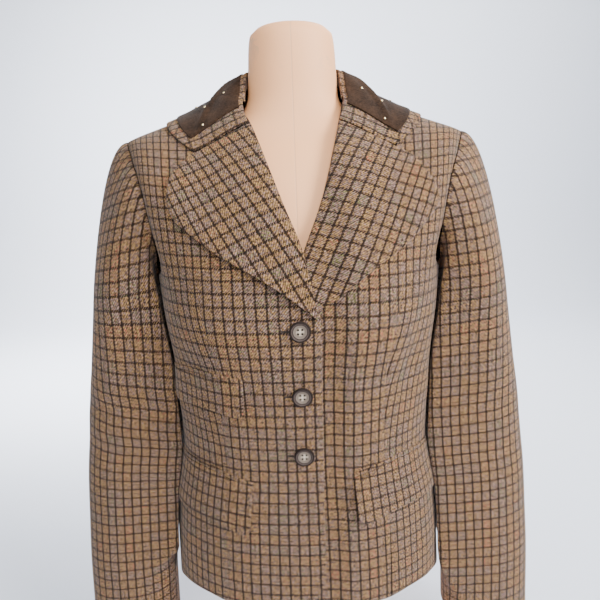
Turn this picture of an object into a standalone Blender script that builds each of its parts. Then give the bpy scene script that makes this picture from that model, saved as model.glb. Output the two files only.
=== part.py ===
"""A woman's tweed hacking jacket, buttoned on a limbless dress form.

Metres, +Z up. The jacket faces -Y, and the origin is on the floor under the middle of the form.
The wearer's right is the -X side. Each piece that a tailor would cut is one object.
A place on the jacket's body is given by its side (-1 is the wearer's right), its turn in degrees
from the centre front, and its rise: 0 at the hem, 1 at the underarm and 2 along the shoulder seam.
"""

import math

import bmesh
import bpy
from mathutils import Matrix, Vector

# Cloth walls and the gaps between pieces
TWEED = 0.0018
DOUBLED_TWEED = 0.0024
SUEDE = 0.0012
LAID_GAP = 0.0008
SEAM_TURN = 0.12

# The body of the jacket
HEM_Z = 0.148
UNDERARM_Z = 0.555
SHOULDER_X = 0.198
SHOULDER_Z = 0.714
SHOULDER_SLOPE = math.radians(21)
CREST_WIDTH = 0.205
CREST_SQUARENESS = 3.6
# How fast the chest and the back close in to the shoulder seam: at the neck and at the shoulder point
CREST_BEND_FRONT = (1.40, 0.85)
CREST_BEND_BACK = (1.15, 0.85)
SHOULDER_SEAM_HALF_GAP = 0.0004
OVERLAP = 0.020
FRONT_CORNER_RADIUS = 0.050
# The share of a front's height over which its rows bend to the round corner
CORNER_FADE = 0.4
# How deep the wearer's left front lies under the right one at the buttons
UNDERLAP_DEPTH = 0.0068

# height, half width, depth to the front, depth to the back, squareness
BODY_SECTIONS = (
    (0.100, 0.180, 0.116, 0.114, 2.3),
    (0.200, 0.177, 0.117, 0.117, 2.3),
    (0.280, 0.168, 0.117, 0.110, 2.3),
    (0.362, 0.152, 0.119, 0.092, 2.3),
    (0.440, 0.154, 0.126, 0.096, 2.3),
    (0.520, 0.165, 0.133, 0.106, 2.3),
    (0.560, 0.168, 0.132, 0.108, 2.3),
)
# turn, height of the hem above its level at the back
HEM_LIFT = ((-12, 0.022), (30, 0.022), (45, 0.026), (60, 0.023), (75, 0.012), (90, 0.004), (180, 0.0))
# rise, turn of the seam from the armhole down over the bust
PRINCESS_SEAM = ((0, 33), (0.5, 34.5), (0.8, 34), (0.92, 35), (1.0, 40), (1.08, 50), (1.2, 65))
# rise, turn of the armhole's front edge, turn of its back edge
ARMHOLE = (
    (1.00, 90, 90),
    (1.03, 80, 100),
    (1.08, 72, 106),
    (1.20, 65, 110),
    (1.32, 65.5, 110),
    (1.45, 69, 107),
    (1.57, 74.5, 104),
    (1.70, 76.5, 103),
    (1.85, 74.5, 105),
    (2.00, 71.5, 108.5),
)
# The bust, on each side: turn, height, spread in degrees, half height, depth outwards
BUST = (34, 0.520, 22, 0.060, 0.0060)
# Soft folds: side, turn, height, spread in degrees, half length, degrees of tilt per metre, depth
BODY_FOLDS = (
    (-1, 58, 0.610, 7, 0.060, 60, 0.0030),
    (1, 56, 0.600, 7, 0.055, 60, 0.0024),
    (-1, 66, 0.430, 9, 0.070, -60, 0.0030),
    (1, 66, 0.440, 9, 0.065, -60, 0.0034),
    (-1, 30, 0.400, 9, 0.075, 40, 0.0020),
    (1, 48, 0.470, 6, 0.060, 50, -0.0024),
    (-1, 125, 0.420, 10, 0.080, 50, 0.0030),
    (1, 128, 0.410, 10, 0.085, 50, 0.0028),
    (-1, 150, 0.230, 10, 0.090, 0, 0.0030),
    (1, 146, 0.240, 11, 0.090, 0, 0.0032),
)

# The rows of points up a front, and up a side front, which has a row at each of the front's rows
FRONT_ROWS = 30
SIDE_FRONT_ROWS = 18

# The lapels. height, distance of the roll line from the centre front
ROLL_LINES = {
    -1: (
        (0.527, -0.0175),
        (0.594, -0.0045),
        (0.641, 0.0134),
        (0.692, 0.0325),
        (0.724, 0.0453),
        (0.742, 0.0549),
        (0.768, 0.0605),
    ),
    1: (
        (0.527, -0.0175),
        (0.594, 0.0050),
        (0.648, 0.0265),
        (0.703, 0.0420),
        (0.724, 0.0475),
        (0.749, 0.0545),
        (0.768, 0.0605),
    ),
}
LAPEL_BOTTOM_Z = 0.531
GORGE_Z = 0.722
LAPEL_BELLY = 0.0045
# share of the way up, distance from the centre front, height
LAPEL_EDGES = {
    -1: (
        (0.00, -0.0180, 0.5262),
        (0.08, 0.0116, 0.5511),
        (0.20, 0.0458, 0.5733),
        (0.34, 0.0790, 0.5925),
        (0.48, 0.1085, 0.6147),
        (0.60, 0.1225, 0.6280),
        (0.72, 0.1295, 0.6470),
        (0.84, 0.1290, 0.6640),
        (0.93, 0.1215, 0.6790),
        (1.00, 0.1120, 0.6885),
    ),
    1: (
        (0.00, -0.0180, 0.5262),
        (0.08, 0.0170, 0.5340),
        (0.20, 0.0480, 0.5560),
        (0.34, 0.0790, 0.5780),
        (0.48, 0.1100, 0.5990),
        (0.60, 0.1330, 0.6225),
        (0.72, 0.1440, 0.6400),
        (0.84, 0.1400, 0.6570),
        (0.93, 0.1310, 0.6710),
        (1.00, 0.1215, 0.6840),
    ),
}

# The collar: share of the way from the gorge to the centre back, neckline's and outer edge's distance
# from the centre, their place over the shoulder (2 on the seam, more behind it), height of the fold
COLLAR_STATIONS = (
    (0.00, 0.0480, 1.633, 0.1060, 1.572, 0.0000),
    (0.10, 0.0535, 1.700, 0.1250, 1.655, 0.0015),
    (0.20, 0.0590, 1.800, 0.1365, 1.745, 0.0070),
    (0.30, 0.0590, 1.930, 0.1440, 1.900, 0.0180),
    (0.40, 0.0570, 2.060, 0.1430, 2.060, 0.0260),
    (0.55, 0.0520, 2.200, 0.1270, 2.280, 0.0330),
    (0.75, 0.0340, 2.310, 0.0820, 2.440, 0.0390),
    (1.00, 0.0000, 2.350, 0.0000, 2.500, 0.0410),
)
STAND_DEPTH = 0.0042
STAND_FOOT = 0.0025
STAND_TOP_GAP = 0.0012
COLLAR_BELLY = 0.0018
FOLD_SHARPNESS = 1.6
COLLAR_FLAT_FROM = 0.45
STAND_START = 0.17
FALL_COLUMNS = 28
FALL_ROWS = 7
# The suede's margins on the fall, in its own columns and rows
PATCH_END_COLUMNS = 1
PATCH_EDGE_ROWS = 1
PATCH_GAP = 0.0004
# share along the collar, share across it
STUDS = ((0.115, 0.58), (0.22, 0.46), (0.25, 0.20), (0.36, 0.62), (0.66, 0.38), (0.66, 0.62))
STUD_RADIUS = 0.0016
STUD_HEIGHT = 0.0011
STUD_FOOT = PATCH_GAP + SUEDE + 0.0004

# The sleeves: height, centre across, centre depth, half width, half depth
SLEEVE_SECTIONS = (
    (0.098, 0.2460, -0.028, 0.0590, 0.0340),
    (0.180, 0.2400, -0.024, 0.0595, 0.0360),
    (0.240, 0.2330, -0.020, 0.0600, 0.0380),
    (0.300, 0.2270, -0.016, 0.0605, 0.0410),
    (0.380, 0.2190, -0.010, 0.0580, 0.0460),
    (0.450, 0.2140, -0.004, 0.0530, 0.0570),
    (0.535, 0.2085, 0.000, 0.0435, 0.0680),
)
BICEP_Z = SLEEVE_SECTIONS[-1][0]
CUFF_Z = SLEEVE_SECTIONS[0][0]
SLEEVE_SEAM_FRONT = 150
SLEEVE_SEAM_BACK = 240
SLEEVE_SEAM_GAP = 0.6
SLEEVE_START = 0.0007
# How much closer the upper sleeve's columns stand at the top of the shoulder
SLEEVE_CROWDING = 1.6
SLEEVE_CLEARANCE = 0.0080
SLEEVE_SOFTNESS = 0.003
CAP_SPRING = 0.50
CAP_DROP = 0.65
# Which way the sleeve head leaves the armhole: down, and out from the armhole's middle
CAP_LEAN = 0.20
CAP_FLARE = 0.12
# side, angle round the sleeve, height, spread in degrees, half length, degrees of tilt per metre, depth
SLEEVE_FOLDS = (
    (-1, 60, 0.400, 40, 0.016, 0, -0.0040),
    (-1, 75, 0.350, 45, 0.014, 0, -0.0034),
    (1, 60, 0.390, 40, 0.016, 0, -0.0040),
    (1, 70, 0.340, 42, 0.014, 0, -0.0034),
    (-1, 95, 0.560, 14, 0.050, 200, 0.0030),
    (1, 95, 0.555, 14, 0.050, 200, 0.0030),
    (-1, 230, 0.400, 50, 0.020, 0, -0.0030),
    (1, 232, 0.410, 50, 0.020, 0, -0.0030),
)

# The flaps: name, side, turn of the front end, turn of the back end, height at the front end,
# in the middle and at the back end, depth of the flap
FLAPS = (
    ("flap_hip_left", 1, 19.7, 77, 0.341, 0.351, 0.344, 0.060),
    ("flap_hip_right", -1, 21.9, 79, 0.333, 0.345, 0.338, 0.062),
    ("flap_ticket", -1, 22.9, 67, 0.4585, 0.4640, 0.4590, 0.040),
)
FLAP_CORNER = 0.012
FLAP_LIFT = 0.0012
# A flap's length as a share of its turn times the body's half width
FLAP_ROUNDNESS = 0.9
JET_DEPTH = 0.0050
JET_GAP = 0.0006

# The buttons
BUTTON_TOP_Z = 0.516
BUTTON_SPACING = 0.072
BUTTON_COUNT = 3
BUTTON_OFF_CENTRE = 0.001
BUTTON_RADIUS = 0.011
BUTTON_THICKNESS = 0.0036
BUTTON_HOLE_RADIUS = 0.0011
BUTTON_HOLE_CENTRE = 0.0026
BUTTON_SIDES = 20
BUTTON_GAP = 0.0004

# The dress form: height, half width, depth to the front, depth to the back
FORM_SECTIONS = (
    (0.000, 0.098, 0.090, 0.088),
    (0.130, 0.094, 0.086, 0.086),
    (0.170, 0.106, 0.091, 0.090),
    (0.215, 0.135, 0.096, 0.095),
    (0.260, 0.150, 0.098, 0.094),
    (0.362, 0.134, 0.100, 0.076),
    (0.440, 0.138, 0.107, 0.080),
    (0.520, 0.150, 0.115, 0.090),
    (0.560, 0.151, 0.115, 0.092),
    (0.600, 0.149, 0.107, 0.088),
    (0.640, 0.146, 0.095, 0.080),
    (0.680, 0.136, 0.077, 0.064),
    (0.712, 0.104, 0.055, 0.047),
    (0.738, 0.064, 0.045, 0.040),
    (0.760, 0.0520, 0.043, 0.040),
    (0.785, 0.0505, 0.044, 0.041),
    (0.808, 0.0490, 0.045, 0.044),
    (0.822, 0.0470, 0.044, 0.043),
    (0.828, 0.0410, 0.038, 0.037),
)
FORM_TOP_Z = 0.8295
FORM_SQUARENESS = 2.1
FORM_SIDES = 30


def table(rows):
    """A smooth reader for a table: the first column is the key, and no column overshoots."""
    keys = [row[0] for row in rows]
    columns = list(zip(*rows))[1:]
    last = len(rows) - 1

    def slopes(values):
        steps = [(values[i + 1] - values[i]) / (keys[i + 1] - keys[i]) for i in range(last)]
        inner = [0.0 if a * b <= 0 else 2 * a * b / (a + b) for a, b in zip(steps, steps[1:])]
        return [steps[0], *inner, steps[-1]]

    tangents = [slopes(column) for column in columns]

    def read(key):
        key = min(max(key, keys[0]), keys[-1])
        i = min(max(sum(k <= key for k in keys) - 1, 0), last - 1)
        span = keys[i + 1] - keys[i]
        t = (key - keys[i]) / span
        rise = t * t * (3 - 2 * t)
        found = [
            c[i] + (c[i + 1] - c[i]) * rise + span * t * (1 - t) * (m[i] * (1 - t) - m[i + 1] * t)
            for c, m in zip(columns, tangents)
        ]
        return found[0] if len(found) == 1 else found

    return read


def mix(a, b, t):
    return a + (b - a) * t


def ease(low, high, value):
    """0 below low, 1 above high, and smooth between them."""
    t = min(max((value - low) / (high - low), 0.0), 1.0)
    return t * t * (3 - 2 * t)


body_section = table(BODY_SECTIONS)
hem_lift = table(HEM_LIFT)
princess_turn = table(PRINCESS_SEAM)
armhole_turns = table(ARMHOLE)
roll_line = {side: table(rows) for side, rows in ROLL_LINES.items()}
lapel_edge = {side: table(rows) for side, rows in LAPEL_EDGES.items()}
collar_station = table(COLLAR_STATIONS)
sleeve_section = table(SLEEVE_SECTIONS)


def hem_at(turn):
    return HEM_Z + hem_lift(turn)


def shoulder_z(across):
    return SHOULDER_Z + (SHOULDER_X - across) * math.tan(SHOULDER_SLOPE)


def crest_bend(turn):
    neck, shoulder = CREST_BEND_FRONT if abs(turn) < 90 else CREST_BEND_BACK
    return mix(neck, shoulder, ease(25, 72, min(abs(turn), 180 - abs(turn))))


def section_fall(share, power):
    """How deep a level section still is, as a share, this far across it."""
    return max(1 - abs(share) ** power, 0.0) ** (1 / power)


def half_width(rise, turn=30):
    if rise <= 1:
        return body_section(mix(hem_at(turn), UNDERARM_Z, rise))[0]
    return mix(body_section(UNDERARM_Z)[0], CREST_WIDTH, (rise - 1) ** 1.5)


def puff(side, turn, height):
    """How far the bust and the soft folds stand out of the plain sections."""
    bust_turn, bust_z, spread, tall, depth = BUST
    out = depth * math.exp(-(((turn - bust_turn) / spread) ** 2) - ((height - bust_z) / tall) ** 2)
    for fold_side, fold_turn, z, wide, long, tilt, deep in BODY_FOLDS:
        if fold_side == side:
            along = (height - z) / long
            off = (turn - fold_turn - tilt * (height - z)) / wide
            out += deep * math.exp(-off * off - along * along)
    return out


def body_point(side, turn, rise):
    """A point of the jacket's outer face."""
    height = mix(hem_at(abs(turn)), UNDERARM_Z, min(rise, 1))
    _, front, back, power = body_section(height)
    power = mix(power, CREST_SQUARENESS, ease(1.0, 1.5, rise))
    share = math.sin(math.radians(turn))
    across = share * half_width(rise, abs(turn))
    depth = section_fall(share, power) * (-front if abs(turn) < 90 else back)
    if rise > 1:
        climb = math.radians(90 * (rise - 1))
        bend = crest_bend(turn)
        height = mix(UNDERARM_Z, shoulder_z(abs(across)), math.sin(climb) ** bend)
        depth *= max(math.cos(climb), 0.0) ** bend
    out = puff(side, turn, height) * (1 - ease(1.6, 2.0, rise))
    away = Vector((share, -math.cos(math.radians(turn)), 0)) * out
    return Vector(((across + away.x) * side, depth + away.y, height))


def rise_at(turn, height):
    """The rise of a height below the underarm."""
    return (height - hem_at(turn)) / (UNDERARM_Z - hem_at(turn))


def turn_at(across, rise, back=False):
    turn = math.degrees(math.asin(max(min(across / half_width(rise), 1), -1)))
    return 180 - turn if back else turn


def front_place(across, height):
    """The turn and rise of a place on the front by its distance from the centre and its height."""
    if height <= UNDERARM_Z:
        turn = math.degrees(math.asin(across / body_section(height)[0]))
        return turn, rise_at(abs(turn), height)
    share = (height - UNDERARM_Z) / (shoulder_z(abs(across)) - UNDERARM_Z)
    turn = 0.0
    for _ in range(8):
        rise = 1 + math.degrees(math.asin(min(share, 1.0) ** (1 / crest_bend(turn)))) / 90
        turn = turn_at(across, rise)
    return turn, rise


def seam_rise(turn):
    """The rise at which a front or a back stops, a little before the shoulder seam."""
    _, front, back, _ = body_section(UNDERARM_Z)
    reach = section_fall(math.sin(math.radians(turn)), CREST_SQUARENESS) * (front if turn < 90 else back)
    return 1 + math.degrees(math.acos((SHOULDER_SEAM_HALF_GAP / reach) ** (1 / crest_bend(turn)))) / 90


def over_shoulder(side, across, place):
    """A point by its place over the shoulder: 1 at the front underarm, 2 on the seam, 3 behind."""
    back = place > 2
    rise = 4 - place if back else place
    return body_point(side, turn_at(across, rise, back), rise)


def body_normal(side, turn, rise):
    """The body's outward normal, by small steps."""
    low, high = max(rise - 0.004, 0.0), min(rise + 0.004, 2.0)
    around = body_point(side, turn + 0.4, rise) - body_point(side, turn - 0.4, rise)
    up = body_point(side, turn, high) - body_point(side, turn, low)
    return around.cross(up).normalized() * side


def on_body(side, place, height_off=None):
    """A face on the body: place gives its turns and rises, height_off how far off the body it is.

    Each face is a function of two shares and of how far further out its point lies.
    """

    def face(u, v, out=0.0):
        turn, rise = place(u, v)
        if height_off:
            out += height_off(u, v, turn, rise)
        return body_point(side, turn, rise) + body_normal(side, turn, rise) * out

    return face


def free_face(shape, inside):
    """A face by a function of two shares alone, whose outside is away from the inside's points."""
    step = 0.004

    def face(u, v, out=0.0):
        point = shape(u, v)
        along = shape(min(u + step, 1), v) - shape(max(u - step, 0), v)
        up = shape(u, min(v + step, 1)) - shape(u, max(v - step, 0))
        normal = along.cross(up).normalized()
        return point + normal * (out if normal.dot(point - inside(point)) > 0 else -out)

    return face


def below_neck(point):
    return Vector((0, 0, point.z - 0.05))


def add_object(name, mesh, material):
    mesh.materials.append(material)
    mesh.shade_smooth()
    mesh.set_sharp_from_angle(angle=math.radians(50))
    item = bpy.data.objects.new(name, mesh)
    jacket.objects.link(item)
    return item


def cloth_wall(name, face, columns, rows, thickness, material):
    """A closed wall of cloth: its outer face, and the same face moved in by the thickness."""
    build = bmesh.new()
    layers = []
    for out in (0.0, -thickness):
        grid = [
            [build.verts.new(face(c / columns, r / rows, out)) for c in range(columns + 1)]
            for r in range(rows + 1)
        ]
        layers.append(grid)
    outer, inner = layers
    for r in range(rows):
        for c in range(columns):
            for grid in layers:
                build.faces.new((grid[r][c], grid[r][c + 1], grid[r + 1][c + 1], grid[r + 1][c]))
    rim = [(0, c) for c in range(columns)]
    rim += [(r, columns) for r in range(rows)]
    rim += [(rows, c) for c in range(columns, 0, -1)]
    rim += [(r, 0) for r in range(rows, 0, -1)]
    for (r0, c0), (r1, c1) in zip(rim, rim[1:] + rim[:1]):
        build.faces.new((outer[r0][c0], outer[r1][c1], inner[r1][c1], inner[r0][c0]))
    bmesh.ops.triangulate(build, faces=build.faces)
    bmesh.ops.recalc_face_normals(build, faces=build.faces)
    mesh = bpy.data.meshes.new(name)
    build.to_mesh(mesh)
    build.free()
    return add_object(name, mesh, material)


def finish(name, color, roughness, metallic=0.0):
    material = bpy.data.materials.new(name)
    material.use_nodes = True
    shader = material.node_tree.nodes["Principled BSDF"]
    shader.inputs["Base Color"].default_value = (*color, 1)
    shader.inputs["Roughness"].default_value = roughness
    shader.inputs["Metallic"].default_value = metallic
    material.diffuse_color = (*color, 1)
    return material


def underlap(side, turn, rise):
    """How far the wearer's left front sinks under the right one near the buttons."""
    if side < 0:
        return 0.0
    point = body_point(side, turn, rise)
    return UNDERLAP_DEPTH * (1 - ease(0.026, 0.058, point.x)) * (1 - ease(0.605, 0.700, point.z))


def roll_turn(side, rise):
    """The turn of the roll line at a rise."""
    across = 0.0
    for _ in range(6):
        turn = turn_at(across, rise)
        across = roll_line[side](body_point(side, turn, rise).z)
    return turn_at(across, rise)


def front_face(side):
    """A front, from its edge and roll line to the princess seam and the armhole."""

    def place(u, v):
        rise = 2 * v
        outer = princess_turn(rise) if rise < PRINCESS_SEAM[-1][0] else armhole_turns(rise)[0]
        edge_z = mix(hem_at(30), UNDERARM_Z, rise)
        inner = roll_turn(side, rise) if edge_z > LAPEL_BOTTOM_Z else turn_at(-OVERLAP, rise)
        turn = mix(inner, outer - SEAM_TURN, u)
        from_edge = (turn - inner) * math.radians(1) * half_width(rise)
        if from_edge < FRONT_CORNER_RADIUS:
            short = FRONT_CORNER_RADIUS - from_edge
            cut = FRONT_CORNER_RADIUS - math.sqrt(FRONT_CORNER_RADIUS**2 - short**2)
            rise += cut / (UNDERARM_Z - HEM_Z) * max(1 - v / CORNER_FADE, 0.0)
        return turn, min(rise, seam_rise(turn))

    return on_body(side, place, lambda u, v, turn, rise: -underlap(side, turn, rise))


def side_front_face(side):
    """A side front, from the princess seam to the side seam and up to the armhole."""
    tops = table([(turn, rise) for rise, turn, _ in reversed(ARMHOLE[:4])])
    last_row = 1 - 1 / SIDE_FRONT_ROWS

    def place(u, v):
        rise = v * tops(mix(ARMHOLE[3][1], 90, u)) - 0.010 * max(v - last_row, 0) * SIDE_FRONT_ROWS
        return mix(princess_turn(rise) + SEAM_TURN, 90 - SEAM_TURN / 2, u), rise

    return on_body(side, place)


def back_face(side):
    """A back, from the side seam and the armhole to the centre back and the neckline."""
    behind = [(4 - place, across) for _, across, place, *_ in reversed(COLLAR_STATIONS) if place > 2]
    neckline = table([*behind, (2.0, behind[-1][1] + 0.001)])

    def place(u, v):
        rise = 2 * v
        outer = 90 + SEAM_TURN / 2 if rise < 1 else armhole_turns(rise)[1] + SEAM_TURN
        inner = 180 - SEAM_TURN
        if rise > behind[0][0]:
            inner = min(inner, turn_at(neckline(rise), rise, back=True))
        turn = mix(outer, inner, u)
        return turn, min(rise, seam_rise(turn))

    return on_body(side, place)


def lapel_face(side):
    """A lapel, laid back on its front, from the roll line to its outer edge."""

    def place(u, v):
        roll_z = mix(LAPEL_BOTTOM_Z, GORGE_Z, v)
        edge_across, edge_z = lapel_edge[side](v)
        return front_place(mix(roll_line[side](roll_z), edge_across, u), mix(roll_z, edge_z, u))

    def height_off(u, v, turn, rise):
        belly = LAPEL_BELLY * math.sin(math.pi * u**0.6) * ease(0.10, 0.45, v) * (1 - ease(0.8, 1, v) / 2)
        return LAID_GAP + DOUBLED_TWEED + belly - underlap(side, turn, rise)

    return on_body(side, place, height_off)


def fall_shape(u, v):
    """The collar's fall: u from one gorge to the other, v from the fold down to the outer edge."""
    side = -1 if u < 0.5 else 1
    neck_x, neck_s, edge_x, edge_s, lift = collar_station(1 - abs(2 * u - 1))
    across = mix(neck_x, edge_x, v)
    place = mix(neck_s, edge_s, v)
    rise = 4 - place if place > 2 else place
    turn = turn_at(across, rise, back=place > 2)
    rest = max(1 - v / COLLAR_FLAT_FROM, 0.0)
    out = LAID_GAP + DOUBLED_TWEED + COLLAR_BELLY * math.sin(math.pi * min(v * 1.4, 1))
    lifted = Vector((0, 0, lift * rest**FOLD_SHARPNESS))
    return body_point(side, turn, rise) + body_normal(side, turn, rise) * out + lifted


def stand_shape(u, v):
    """The stand: u round the neck, v from the neckline up to just under the fold."""
    whole = mix(STAND_START / 2, 1 - STAND_START / 2, u)
    side = -1 if whole < 0.5 else 1
    neck_x, neck_s, _, _, lift = collar_station(1 - abs(2 * whole - 1))
    base = over_shoulder(side, neck_x, neck_s)
    inward = Vector((-base.x, -base.y, 0)).normalized()
    return base + inward * STAND_DEPTH + Vector((0, 0, mix(STAND_FOOT, lift - STAND_TOP_GAP, v)))


collar_fall = free_face(fall_shape, below_neck)
collar_stand = free_face(stand_shape, below_neck)


def collar_patch(u, v, out=0.0):
    """The suede, on the fall's outer face."""
    end = PATCH_END_COLUMNS / FALL_COLUMNS
    edge = PATCH_EDGE_ROWS / FALL_ROWS
    return collar_fall(mix(end, 1 - end, u), mix(edge, 1 - edge, v), PATCH_GAP + SUEDE + out)


def armhole_point(side, angle):
    """A point of the armhole: 0 at the shoulder, 90 in front, 180 under the arm, 270 behind."""
    back = angle % 360 > 180
    share = (1 + math.cos(math.radians(angle))) / 2
    rise = 1 + math.degrees(math.asin(share ** (1 / crest_bend(80)))) / 90
    return body_point(side, armhole_turns(rise)[1 if back else 0], rise)


def body_reach(depth, height):
    """How far to the side the body reaches at a depth and a height."""
    height = min(max(height, HEM_Z), UNDERARM_Z)
    half, front, back, power = body_section(height)
    share = min(abs(depth) / (front if depth < 0 else back), 1.0)
    return half * (1 - share**power) ** (1 / power)


def tube_point(side, angle, height):
    """A point of the sleeve's tube below the underarm, flattened where it meets the body."""
    across, depth, wide, deep = sleeve_section(height)
    turn = math.radians(angle)
    out = 0.0
    for fold_side, fold_angle, z, spread, long, tilt, amount in SLEEVE_FOLDS:
        if fold_side == side:
            along = (height - z) / long
            off = ((angle - fold_angle + 180) % 360 - 180 - tilt * (height - z)) / spread
            out += amount * math.exp(-off * off - along * along)
    x = across + (wide + out) * math.cos(turn)
    y = depth - (deep + out) * math.sin(turn)
    limit = body_reach(y, height) + SLEEVE_CLEARANCE
    x = (x + limit + math.hypot(x - limit, SLEEVE_SOFTNESS)) / 2
    return Vector((x * side, y, height))


def sleeve_point(side, angle, length):
    """A point of a sleeve: length 0 at the armhole, 1 at the underarm level and 2 at the cuff."""
    if length > 1:
        return tube_point(side, angle, mix(BICEP_Z, CUFF_Z, length - 1))
    start = armhole_point(side, angle) + Vector((SLEEVE_START * side, 0, 0))
    end = tube_point(side, angle, BICEP_Z)
    chord = (end - start).length
    middle = Vector((start.x, 0, mix(UNDERARM_Z, SHOULDER_Z, 0.5)))
    leave = Vector((side, 0, -CAP_LEAN)) + (start - middle).normalized() * CAP_FLARE
    spring = leave.normalized() * chord * CAP_SPRING
    below = (tube_point(side, angle, BICEP_Z - 0.01) - end).normalized() * chord * CAP_DROP
    t = length
    return (
        start * (2 * t**3 - 3 * t**2 + 1)
        + spring * (t**3 - 2 * t**2 + t)
        + end * (3 * t**2 - 2 * t**3)
        + below * (t**3 - t**2)
    )


def sleeve_middle(side):
    """The middle line of a sleeve, for telling its outside from its inside."""

    def middle(point):
        across, depth, _, _ = sleeve_section(point.z)
        return Vector((across * side, depth, min(point.z, BICEP_Z + 0.06)))

    return middle


def sleeve_upper_face(side):
    """The upper sleeve, whose columns crowd towards the top of the shoulder."""
    front, back = SLEEVE_SEAM_FRONT - SLEEVE_SEAM_GAP, 360 - SLEEVE_SEAM_BACK - SLEEVE_SEAM_GAP

    def shape(u, v):
        way = 2 * u - 1
        angle = abs(way) ** SLEEVE_CROWDING * (front if way > 0 else -back)
        return sleeve_point(side, angle, 2 * v)

    return free_face(shape, sleeve_middle(side))


def sleeve_under_face(side):
    def shape(u, v):
        return sleeve_point(side, mix(SLEEVE_SEAM_FRONT, SLEEVE_SEAM_BACK, u), 2 * v)

    return free_face(shape, sleeve_middle(side))


def flap_face(side, first, last, front_z, middle_z, back_z, depth, top=0.0):
    """A flap laid on the front and side front, with round lower corners."""
    line = table(((0, front_z), (0.45, middle_z), (1, back_z)))
    length = math.radians(last - first) * half_width(rise_at(30, front_z)) * FLAP_ROUNDNESS
    corner = FLAP_CORNER if depth > 2 * FLAP_CORNER else 0.0

    def place(u, v):
        short = max(corner - min(u, 1 - u) * length, 0.0)
        cut = corner - math.sqrt(corner**2 - short**2)
        turn = mix(first, last, u)
        return turn, rise_at(turn, line(u) + top - v * (depth - cut))

    return on_body(side, place, lambda u, v, turn, rise: LAID_GAP + TWEED + FLAP_LIFT * v)


def seat(item, point, normal):
    """Stand an object on a face, with its +Z along the normal."""
    item.matrix_world = Matrix.Translation(point) @ normal.to_track_quat("Z", "Y").to_matrix().to_4x4()


def turned(name, profile, steps, material):
    """A turned piece: a profile from the top's middle down its outer side."""
    mesh = bpy.data.meshes.new(name)
    edges = [(i, i + 1) for i in range(len(profile) - 1)]
    mesh.from_pydata([(radius, 0, z) for radius, z in profile], edges, [])
    item = bpy.data.objects.new(name, mesh)
    jacket.objects.link(item)
    screw = item.modifiers.new("turn", "SCREW")
    screw.axis = "Z"
    screw.steps = screw.render_steps = steps
    screw.use_merge_vertices = True
    screw.merge_threshold = 0.00001
    screw.use_normal_calculate = True
    mesh.materials.append(material)
    return item


def add_button(name, point, normal, material):
    rim = BUTTON_RADIUS
    thick = BUTTON_THICKNESS
    profile = (
        (0.0, 0.66 * thick),
        (0.62 * rim, 0.68 * thick),
        (0.74 * rim, 0.98 * thick),
        (0.86 * rim, thick),
        (0.97 * rim, 0.80 * thick),
        (rim, 0.50 * thick),
        (0.92 * rim, 0.14 * thick),
        (0.60 * rim, 0.0),
        (0.0, 0.0),
    )
    item = turned(name, profile, BUTTON_SIDES, material)
    seat(item, point, normal)
    holes = bmesh.new()
    for quarter in range(4):
        across = BUTTON_HOLE_CENTRE * (1 if quarter % 2 else -1)
        down = BUTTON_HOLE_CENTRE * (1 if quarter > 1 else -1)
        bmesh.ops.create_cone(
            holes,
            cap_ends=True,
            segments=6,
            radius1=BUTTON_HOLE_RADIUS,
            radius2=BUTTON_HOLE_RADIUS,
            depth=3 * thick,
            matrix=Matrix.Translation((across, down, 0)),
        )
    mesh = bpy.data.meshes.new(f"{name}_holes")
    holes.to_mesh(mesh)
    holes.free()
    cutter = bpy.data.objects.new(f"{name}_holes", mesh)
    cutters.objects.link(cutter)
    cutter.hide_render = True
    cutter.display_type = "WIRE"
    seat(cutter, point, normal)
    cut = item.modifiers.new("thread holes", "BOOLEAN")
    cut.object = cutter
    return item


def add_form(material):
    """The dress form: one smooth torso and neck on a flat base."""
    read = table(FORM_SECTIONS)
    heights = [row[0] for row in FORM_SECTIONS]
    heights += [mix(a, b, 0.5) for a, b in zip(heights, heights[1:]) if b - a > 0.03]
    build = bmesh.new()
    rings = []
    for height in sorted(heights):
        wide, front, back = read(height)
        ring = []
        for step in range(FORM_SIDES):
            angle = 2 * math.pi * step / FORM_SIDES
            x, y = math.sin(angle), -math.cos(angle)
            reach = (abs(x) ** FORM_SQUARENESS + abs(y) ** FORM_SQUARENESS) ** (-1 / FORM_SQUARENESS)
            ring.append(build.verts.new((x * wide * reach, y * reach * (front if y < 0 else back), height)))
        rings.append(ring)
    for low, high in zip(rings, rings[1:]):
        for a, b, c, d in zip(low, low[1:] + low[:1], high[1:] + high[:1], high):
            build.faces.new((a, b, c, d))
    build.faces.new(rings[0])
    top = build.verts.new((0, 0, FORM_TOP_Z))
    for a, b in zip(rings[-1], rings[-1][1:] + rings[-1][:1]):
        build.faces.new((a, b, top))
    bmesh.ops.recalc_face_normals(build, faces=build.faces)
    mesh = bpy.data.meshes.new("dress_form")
    build.to_mesh(mesh)
    build.free()
    return add_object("dress_form", mesh, material)


for leftover in list(bpy.data.objects):
    bpy.data.objects.remove(leftover)

jacket = bpy.data.collections.new("riding_jacket_on_dress_form")
cutters = bpy.data.collections.new("cutters")
bpy.context.scene.collection.children.link(jacket)
bpy.context.scene.collection.children.link(cutters)

tweed = finish("tweed", (0.205, 0.150, 0.105), 0.95)
suede = finish("suede", (0.080, 0.055, 0.036), 0.95)
horn = finish("horn", (0.045, 0.032, 0.024), 0.35)
brass = finish("pale_brass", (0.780, 0.640, 0.380), 0.30, 1.0)
form_skin = finish("form_skin", (0.800, 0.610, 0.490), 0.60)

add_form(form_skin)

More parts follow.
